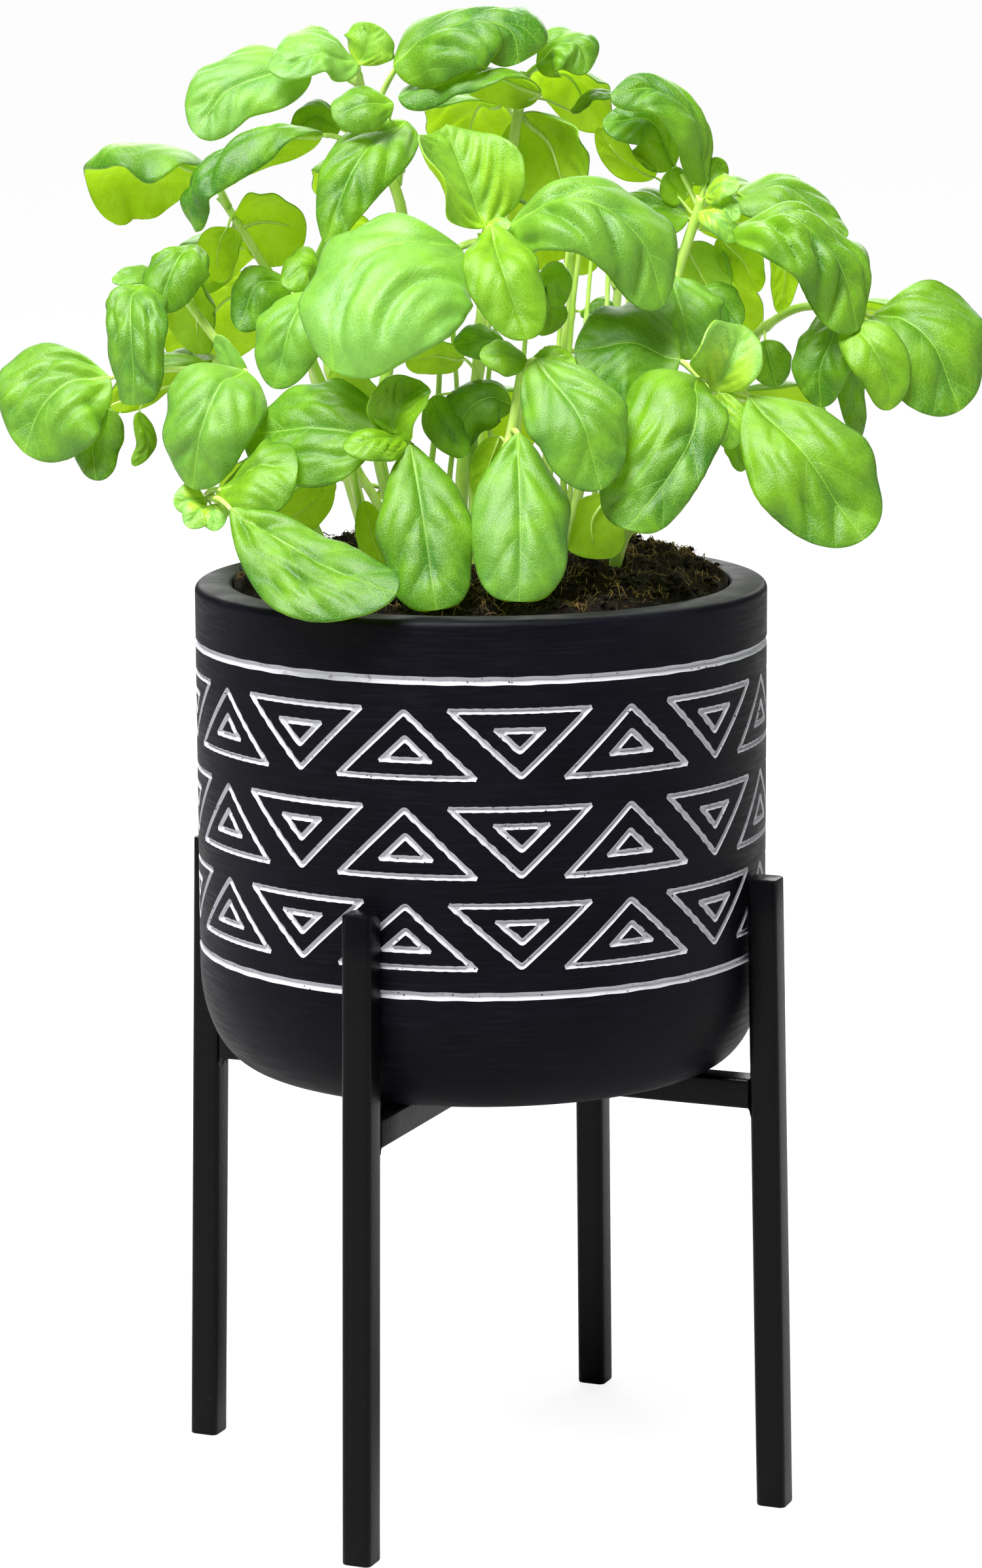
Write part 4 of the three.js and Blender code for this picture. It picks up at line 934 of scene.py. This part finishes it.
def crumb(x, y, pick):
    """A rough flattened ball, half sunk in the soil."""
    z = ground(x, y) - 0.4
    size = pick.uniform(0.4, 1.5) * (1.7 if pick.random() < 0.08 else 1)
    ball = bmesh.new()
    bmesh.ops.create_icosphere(ball, subdivisions=1, radius=size)
    stretch = [pick.uniform(*limits) for limits in ((0.7, 1.5), (0.6, 1.2), (0.5, 0.9))]
    turn = pick.uniform(0, 3)
    verts = []
    for v in ball.verts:
        wobble = 1 + 0.4 * noise.noise(v.co * 1.7 + Vector((x, y, 0)))
        px, py, pz = (value * factor * wobble for value, factor in zip(v.co, stretch))
        verts.append((x + px * math.cos(turn) - py * math.sin(turn),
                      y + px * math.sin(turn) + py * math.cos(turn), z + pz))
    faces = [[v.index for v in f.verts] for f in ball.faces]
    ball.free()
    return verts, faces


def fibre(x, y, pick):
    """A bent hair of root or bark that lies on the soil."""
    heading, turn = pick.uniform(0, 2 * math.pi), pick.uniform(-0.5, 0.5)
    length = pick.uniform(1.5, 7.5)
    limit = SOIL_RADIUS - 0.6
    taper = np.array([0.6, 1, 1, 1, 0.8, 0.4])
    steps = len(taper)
    points = []
    for _ in range(steps):
        heading += turn + pick.uniform(-0.25, 0.25)
        x, y = x + math.cos(heading) * length / steps, y + math.sin(heading) * length / steps
        reach = math.hypot(x, y)
        if reach > limit:
            x, y = x * limit / reach, y * limit / reach
        points.append((x, y, ground(x, y) + 0.25 + pick.uniform(-0.3, 0.7)))
    points = np.array(points)
    radii = pick.uniform(0.05, 0.14) * taper
    return tube(points, unit(np.gradient(points, axis=0)), radii, 4, start_normal=(0.1, 0.2, 1))


def soil():
    parts = Parts()
    parts.add(*soil_block())
    pick = random.Random(11)
    for _ in range(CRUMBS):
        verts, faces = crumb(*random_place(pick), pick)
        parts.add(verts, faces, smooth=False)
    for _ in range(FIBRES):
        parts.add(*fibre(*random_place(pick), pick), 1)
    obj = parts.build("peat", [PEAT, FIBRE])
    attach(obj, "root")
    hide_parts("soil")


soil()


# ---------------------------------------------------------------- pot
PLAIN, GROOVE_EDGE, GROOVE_BED = 0, 1, 2


def arc(degrees):
    return math.radians(degrees) * POT_RADIUS


def on_pot(angle, z, radius):
    return (radius * math.sin(angle), -radius * math.cos(angle), z)


def ring_lines(z):
    """Heights of a turned ring's lower edge, bed and upper edge."""
    return z - RING_WIDTH / 2, z, z + RING_WIDTH / 2


class Drawing:
    """A sector of the band laid flat: points, each of a kind, and the lines that the mesh has to follow."""

    def __init__(self, origin, seam, step):
        self.points, self.kinds, self.lines = [], [], []
        self.origin, self.seam, self.step = origin, seam, step
        self.left = [self.put(x, z) for x, z in seam]
        self.right = [self.put(x + step, z) for x, z in seam]

    def put(self, x, z, kind=PLAIN):
        self.points.append(Vector((x + self.origin, z)))
        self.kinds.append(kind)
        return len(self.points) - 1

    def chain(self, ids):
        self.lines.extend(zip(ids, ids[1:]))

    def border(self, columns):
        """The seams on both sides, joined below and above."""
        (low, _), (high, _) = self.seam[0], self.seam[-1]
        bottom = [self.put(low + self.step * k / columns, BAND_BOTTOM) for k in range(1, columns)]
        top = [self.put(high + self.step * k / columns, BAND_TOP) for k in range(1, columns)]
        for ids in (self.left, self.right, [self.left[0], *bottom, self.right[0]],
                    [self.left[-1], *top, self.right[-1]]):
            self.chain(ids)

    def rings(self, columns=40):
        """The two turned rings, a little uneven."""
        heights = {round(z, 4): ends for (_, z), *ends in zip(self.seam, self.left, self.right)}
        for z, (x0, _) in zip(RING_HEIGHTS, (self.seam[0], self.seam[-1])):
            for k, line in enumerate(ring_lines(z)):
                kind = GROOVE_BED if k == 1 else GROOVE_EDGE
                i, j = heights[round(line, 4)]
                row = [i]
                for m in range(1, columns):
                    wave = 0.10 * math.sin(m * 0.9 + z + k) * math.sin(math.pi * m / columns)
                    row.append(self.put(x0 + self.step * m / columns, line + wave, kind))
                if kind == GROOVE_BED:
                    self.kinds[i] = self.kinds[j] = kind
                self.chain(row + [j])

    def triangles(self, pick):
        """In each row a triangle that points up and one that points down, each with a small one inside."""
        strokes = []
        for row in ROWS:
            for middle, down in ((FIRST_DOWN - PITCH, False), (FIRST_DOWN, True)):
                for scale in (1.0, INNER_SIZE + pick.uniform(-0.02, 0.02)):
                    for k, loop in enumerate(triangle_loops(arc(middle), *row, down, scale, pick)):
                        ids = [self.put(*p, GROOVE_BED if k == 1 else GROOVE_EDGE) for p in loop]
                        self.chain(ids + ids[:1])
                        strokes += loop
        return np.array(strokes)

    def fill(self, strokes, columns, rows=40):
        """Points in the plain surface, so that it follows the pot's curve."""
        for row in range(1, rows):
            z = BAND_BOTTOM + (BAND_TOP - BAND_BOTTOM) * row / rows
            if min(abs(z - ring) for ring in RING_HEIGHTS) < RING_WIDTH / 2 + 0.7:
                continue
            x0 = np.interp(z, [p[1] for p in self.seam], [p[0] for p in self.seam])
            for k in range(1, columns):
                x = x0 + self.step * k / columns
                if np.min(np.hypot(strokes[:, 0] - x, strokes[:, 1] - z)) > 1.0:
                    self.put(x, z)


def triangle_loops(cx, bottom, top, down, scale, pick):
    """Three nested loops, outer edge, bed and inner edge of the groove round a triangle."""
    base, tip = (top, bottom) if down else (bottom, top)
    half_base = arc(HALF_BASE)
    corners = [np.array(p, float) for p in ((cx - half_base, base), (cx + half_base, base), (cx, tip))]
    lengths = [np.linalg.norm(corners[i - 2] - corners[i - 1]) for i in range(3)]
    total = sum(lengths)
    centre = sum(c * k for c, k in zip(corners, lengths)) / total
    inradius = lengths[2] * (top - bottom) / total
    width, shift, rounding = GROOVE_WIDTH, np.zeros(2), 1.0
    if scale < 1:
        width, rounding = GROOVE_WIDTH * 1.05, 0.8
        shift = np.array([pick.uniform(-0.3, 0.3), pick.uniform(-0.3, 0.3)])
    phase = [pick.uniform(0, 9) for _ in range(4)]
    loops = []
    for k, (inset, cut) in enumerate(((0.0, 1.5), (width / 2, 0.9), (width, 0.5))):
        factor = (inradius * scale - inset) / inradius
        cut = cut * rounding
        ring = [centre + shift + (c - centre) * factor for c in corners]
        loop = []
        for i in range(3):
            here, before, after = ring[i], ring[i - 1], ring[(i + 1) % 3]
            a = here + unit(before - here) * cut
            b = here + unit(after - here) * cut
            for w in (0.0, 0.33, 0.67, 1.0):
                loop.append(a * (1 - w) ** 2 + here * 2 * w * (1 - w) + b * w * w)
            follow = after + unit(here - after) * cut
            steps = max(int(np.linalg.norm(follow - b) / 1.1), 1)
            for j in range(1, steps):
                p = b + (follow - b) * j / steps
                wave = 0.07 * math.sin(p[0] * 1.9 + phase[k]) + 0.06 * math.sin(p[1] * 2.7 + phase[3])
                loop.append(p + wave)
        loops.append(loop)
    return loops


def band_seam(low, high):
    """The line between two sectors: upright beside the rings, and slanting between the triangles."""
    bends = [(low, z) for z in (BAND_BOTTOM, *ring_lines(RING_HEIGHTS[0]))]
    for bottom, top in reversed(ROWS):
        bends += [(low, bottom - SEAM_CLEARANCE), (high, top + SEAM_CLEARANCE)]
    bends += [(high, z) for z in (*ring_lines(RING_HEIGHTS[1]), BAND_TOP)]
    seam = bends[:1]
    for a, b in zip(bends, bends[1:]):
        n = max(int(math.dist(a, b) / 2.5), 1)
        seam += [(a[0] + (b[0] - a[0]) * k / n, a[1] + (b[1] - a[1]) * k / n) for k in range(1, n + 1)]
    return seam


def pot_band(low, high, step, columns=30):
    """The straight side with its cut pattern. Each sector is laid flat, meshed and wrapped round."""
    pick = random.Random(5)
    seam = band_seam(low, high)
    verts, faces, slots = [], [], []
    for sector in range(SECTORS):
        drawing = Drawing(step * sector, seam, step)
        drawing.border(columns)
        drawing.rings()
        drawing.fill(drawing.triangles(pick), columns)
        points, _, cells, sources = geometry.delaunay_2d_cdt(drawing.points, drawing.lines, [], 1, 1e-5)[:4]
        beds = [any(drawing.kinds[i] == GROOVE_BED for i in ids) for ids in sources]
        start = len(verts)
        for p, bed in zip(points, beds):
            verts.append(on_pot(p.x / POT_RADIUS, p.y, POT_RADIUS - (GROOVE_DEPTH if bed else 0)))
        faces += [[start + i for i in cell] for cell in cells]
        slots += [1 if any(beds[i] for i in cell) else 0 for cell in cells]
    return verts, faces, slots


def lathe(profile, first, around=240):
    """A profile of (radius, height) pairs turned round the pot's axis, starting at an arc length."""
    angles = [first / POT_RADIUS + 2 * math.pi * j / around for j in range(around)]
    verts = [on_pot(angle, z, r) for r, z in profile for angle in angles]
    return verts, grid_faces(len(profile), around, close=True)


def pot():
    parts = Parts()
    step = arc(360 / SECTORS)
    low, high = (arc(FIRST_DOWN + past) - step for past in (SEAM_LOW, SEAM_HIGH))
    parts.add(*pot_band(low, high, step))
    near_axis = 0.01
    width, height = POT_CORNER
    under = [(near_axis, POT_BOTTOM), (30, POT_BOTTOM), (55, POT_BOTTOM)]
    under += ellipse(POT_RADIUS - width, POT_BOTTOM + height, width, height, -90, 0, 22)
    under.append((POT_RADIUS, BAND_BOTTOM))
    parts.add(*lathe(under, low))
    inner = POT_RADIUS - POT_WALL
    floor = POT_BOTTOM + POT_FLOOR
    rim = [(POT_RADIUS, BAND_TOP)]
    rim += ellipse(POT_RADIUS - OUTER_LIP, POT_TOP - OUTER_LIP, OUTER_LIP, OUTER_LIP, 0, 90, 7)
    rim.append((POT_RADIUS - 5, POT_TOP + 0.05))
    rim += ellipse(inner + INNER_LIP, POT_TOP - INNER_LIP, INNER_LIP, INNER_LIP, 90, 180, 6)
    rim += [(inner, 200), (inner, floor + 7), (inner - 5, floor), (near_axis, floor)]
    parts.add(*lathe(rim, high))
    obj = parts.build("pot_incised", [CHARCOAL, CHALK])
    clean_mesh(obj, sharp=24, merge=2e-5)
    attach(obj, "root")
    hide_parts("pot")


pot()


# ---------------------------------------------------------------- stand
def bearings(azimuth):
    """At an azimuth in degrees, the way out from the pot's axis and the way round it."""
    a = math.radians(azimuth)
    return np.array([math.sin(a), -math.cos(a), 0]), np.array([math.cos(a), math.sin(a), 0])


def square_section(half, corner, steps=5):
    points = []
    for x, y, start in ((1, 1, 0), (-1, 1, 90), (-1, -1, 180), (1, -1, 270)):
        points += ellipse(x * (half - corner), y * (half - corner), corner, corner, start, start + 90, steps)
    return np.array(points)


def bar(origin, axis, u_dir, v_dir, length, corner):
    """A square bar with softly rounded ends. Its axis need not be square to its section."""
    softness = 0.5
    end = [(0.0, softness), (softness * 0.3, softness * 0.3), (softness, 0.0)]
    pieces = 14
    stations = end + [(softness + (length - 2 * softness) * k / pieces, 0.0) for k in range(1, pieces)]
    stations += [(length - d, inset) for d, inset in reversed(end)]
    rings = []
    for d, inset in stations:
        section = square_section(BAR / 2 - inset, max(corner - inset * 0.5, 0.4))
        rings.append(origin + axis * d + section[:, :1] * u_dir + section[:, 1:] * v_dir)
    count = len(rings[0])
    faces = grid_faces(len(rings), count, close=True)
    faces.append(tuple(range(count))[::-1])
    faces.append(tuple(range((len(rings) - 1) * count, len(rings) * count)))
    return np.vstack(rings), faces


def weld(radial, tangent, reach, height):
    """A bead of weld with a run of paint, in the corner under a bar where it meets its leg."""
    rows, columns = 12, 9
    start = radial * reach + UP * (height - BAR / 2)
    shifts = [tangent * (i / rows - 0.5) * (BAR - 0.6) for i in range(rows + 1)]
    verts = []
    for i, shift in enumerate(shifts):
        f = i / rows
        bead = 2.6 * (1 + 0.18 * math.sin(f * 19)) * math.sin(math.pi * min(max(f, 0.04), 0.96)) ** 0.4
        for j in range(columns):
            angle = math.pi / 2 * (j / (columns - 1))
            inward = bead * (1 - math.sin(angle)) - 0.4
            down = bead * 1.5 * (1 - math.cos(angle)) - 0.4
            verts.append(start - radial * inward - UP * down + shift)
    verts += [start + UP * 0.8 + radial * 0.05 + shift for shift in shifts]
    faces = grid_faces(rows + 1, columns)
    base = (rows + 1) * columns
    for i in range(rows):
        faces.append((base + i, base + i + 1, (i + 1) * columns, i * columns))
        faces.append((base + i + 1, base + i, i * columns + columns - 1, (i + 1) * columns + columns - 1))
    faces.append([base] + list(range(columns)))
    faces.append([base + rows] + [rows * columns + j for j in range(columns)][::-1])
    return np.array(verts), faces


def stand():
    lean = (LEG_FOOT_RADIUS - LEG_TOP_RADIUS) / LEG_TOP
    for name, azimuth in LEG_AZIMUTHS.items():
        radial, tangent = bearings(azimuth)
        parts = Parts()
        parts.add(*bar(radial * LEG_FOOT_RADIUS, UP - radial * lean, tangent, radial, LEG_TOP, BAR_CORNER))
        obj = parts.build("steel_leg_" + name, [COAT])
        clean_mesh(obj)
        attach(obj, "root")
        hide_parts("leg_" + name)
    reach = LEG_FOOT_RADIUS - lean * POT_BOTTOM - BAR / 2 - 0.1
    middle = UP * (POT_BOTTOM - GAP - BAR / 2)
    parts = Parts()
    for azimuth in (LEG_AZIMUTHS["front_left"], LEG_AZIMUTHS["right"]):
        radial, tangent = bearings(azimuth)
        parts.add(*bar(middle - radial * reach, radial, tangent, UP, 2 * reach, CROSS_CORNER))
        for sign in (1, -1):
            parts.add(*weld(radial * sign, tangent, reach, middle[2]))
    obj = parts.build("steel_cross", [COAT])
    clean_mesh(obj)
    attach(obj, "root")
    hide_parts("stand_cross")


stand()


# ---------------------------------------------------------------- floor, light and camera
def seen_by_camera(tree, seen, rest):
    """A shader that is one thing where the camera looks at it and another where light bounces off it."""
    mix = tree.nodes.new("ShaderNodeMixShader")
    ray = tree.nodes.new("ShaderNodeLightPath")
    tree.links.new(ray.outputs["Is Camera Ray"], mix.inputs[0])
    tree.links.new(rest, mix.inputs[1])
    tree.links.new(seen, mix.inputs[2])
    return mix.outputs[0]


def stage_floor(half=60000):
    """A wide floor that looks white, but throws back light as a mid-grey one does."""
    n = Nodes("white_floor")
    matt = n.node("BsdfDiffuse", {"Color": (0.8, 0.8, 0.8, 1), "Roughness": 0.0}).outputs[0]
    white = n.node("Emission", {"Color": (1, 1, 1, 1), "Strength": 1.12}).outputs[0]
    dull = n.node("BsdfDiffuse", {"Color": (0.45, 0.45, 0.45, 1)}).outputs[0]
    material = n.finish(seen_by_camera(n.tree, n.blend(0.75, matt, white), dull))
    corners = [(-half, -half, 0), (half, -half, 0), (half, half, 0), (-half, half, 0)]
    floor = new_object("floor", corners, [(0, 1, 2, 3)], material)


def area_light(name, position, target, size, power):
    light = bpy.data.lights.new(name, "AREA")
    light.shape = "RECTANGLE"
    light.size, light.size_y = size
    light.energy = power
    obj = linked(name, light)
    obj.location = position
    obj.rotation_euler = (Vector(target) - Vector(position)).to_track_quat("-Z", "Y").to_euler()


def lights():
    """White all round to look at, which gives little light itself, four lamps and a soft light from above."""
    world = bpy.data.worlds.new("studio")
    bpy.context.scene.world = world
    world.use_nodes = True
    tree = world.node_tree
    soft = tree.nodes["Background"]
    soft.inputs["Color"].default_value = (1, 1, 1, 1)
    soft.inputs["Strength"].default_value = AMBIENT
    white = tree.nodes.new("ShaderNodeBackground")
    white.inputs["Strength"].default_value = 1.0
    mixed = seen_by_camera(tree, white.outputs[0], soft.outputs[0])
    tree.links.new(mixed, tree.nodes["World Output"].inputs["Surface"])
    area_light("key", (-0.5, -0.9, 1.8), (0, 0, 0.3), (1.1, 0.9), 82)
    area_light("left", (-1.6, -0.5, 0.8), (0, 0, 0.25), (0.6, 1.4), 5)
    area_light("right", (1.7, -0.3, 0.9), (0, 0, 0.25), (0.6, 1.4), 6)
    area_light("behind", (0.1, 1.5, 1.2), (0, 0, 0.3), (1.8, 1.2), 38)
    sun = bpy.data.lights.new("sky", "SUN")
    sun.energy = 2.0
    sun.angle = math.radians(40)
    linked("sky", sun).rotation_euler = (math.radians(14), math.radians(-8), 0)


def camera():
    data = bpy.data.cameras.new("camera")
    data.lens = LENS
    data.shift_x = SHIFT_X
    data.clip_end = 100
    obj = linked("camera", data)
    obj.location = (0, -VIEW_DISTANCE * MM, VIEW_HEIGHT * MM)
    obj.rotation_mode = "QUATERNION"
    pitch = Quaternion((1, 0, 0), math.radians(90 - VIEW_PITCH))
    obj.rotation_quaternion = pitch @ Quaternion((0, 0, 1), math.radians(VIEW_ROLL))
    bpy.context.scene.camera = obj


stage_floor()
lights()
camera()
bpy.context.scene.view_settings.view_transform = "Standard"
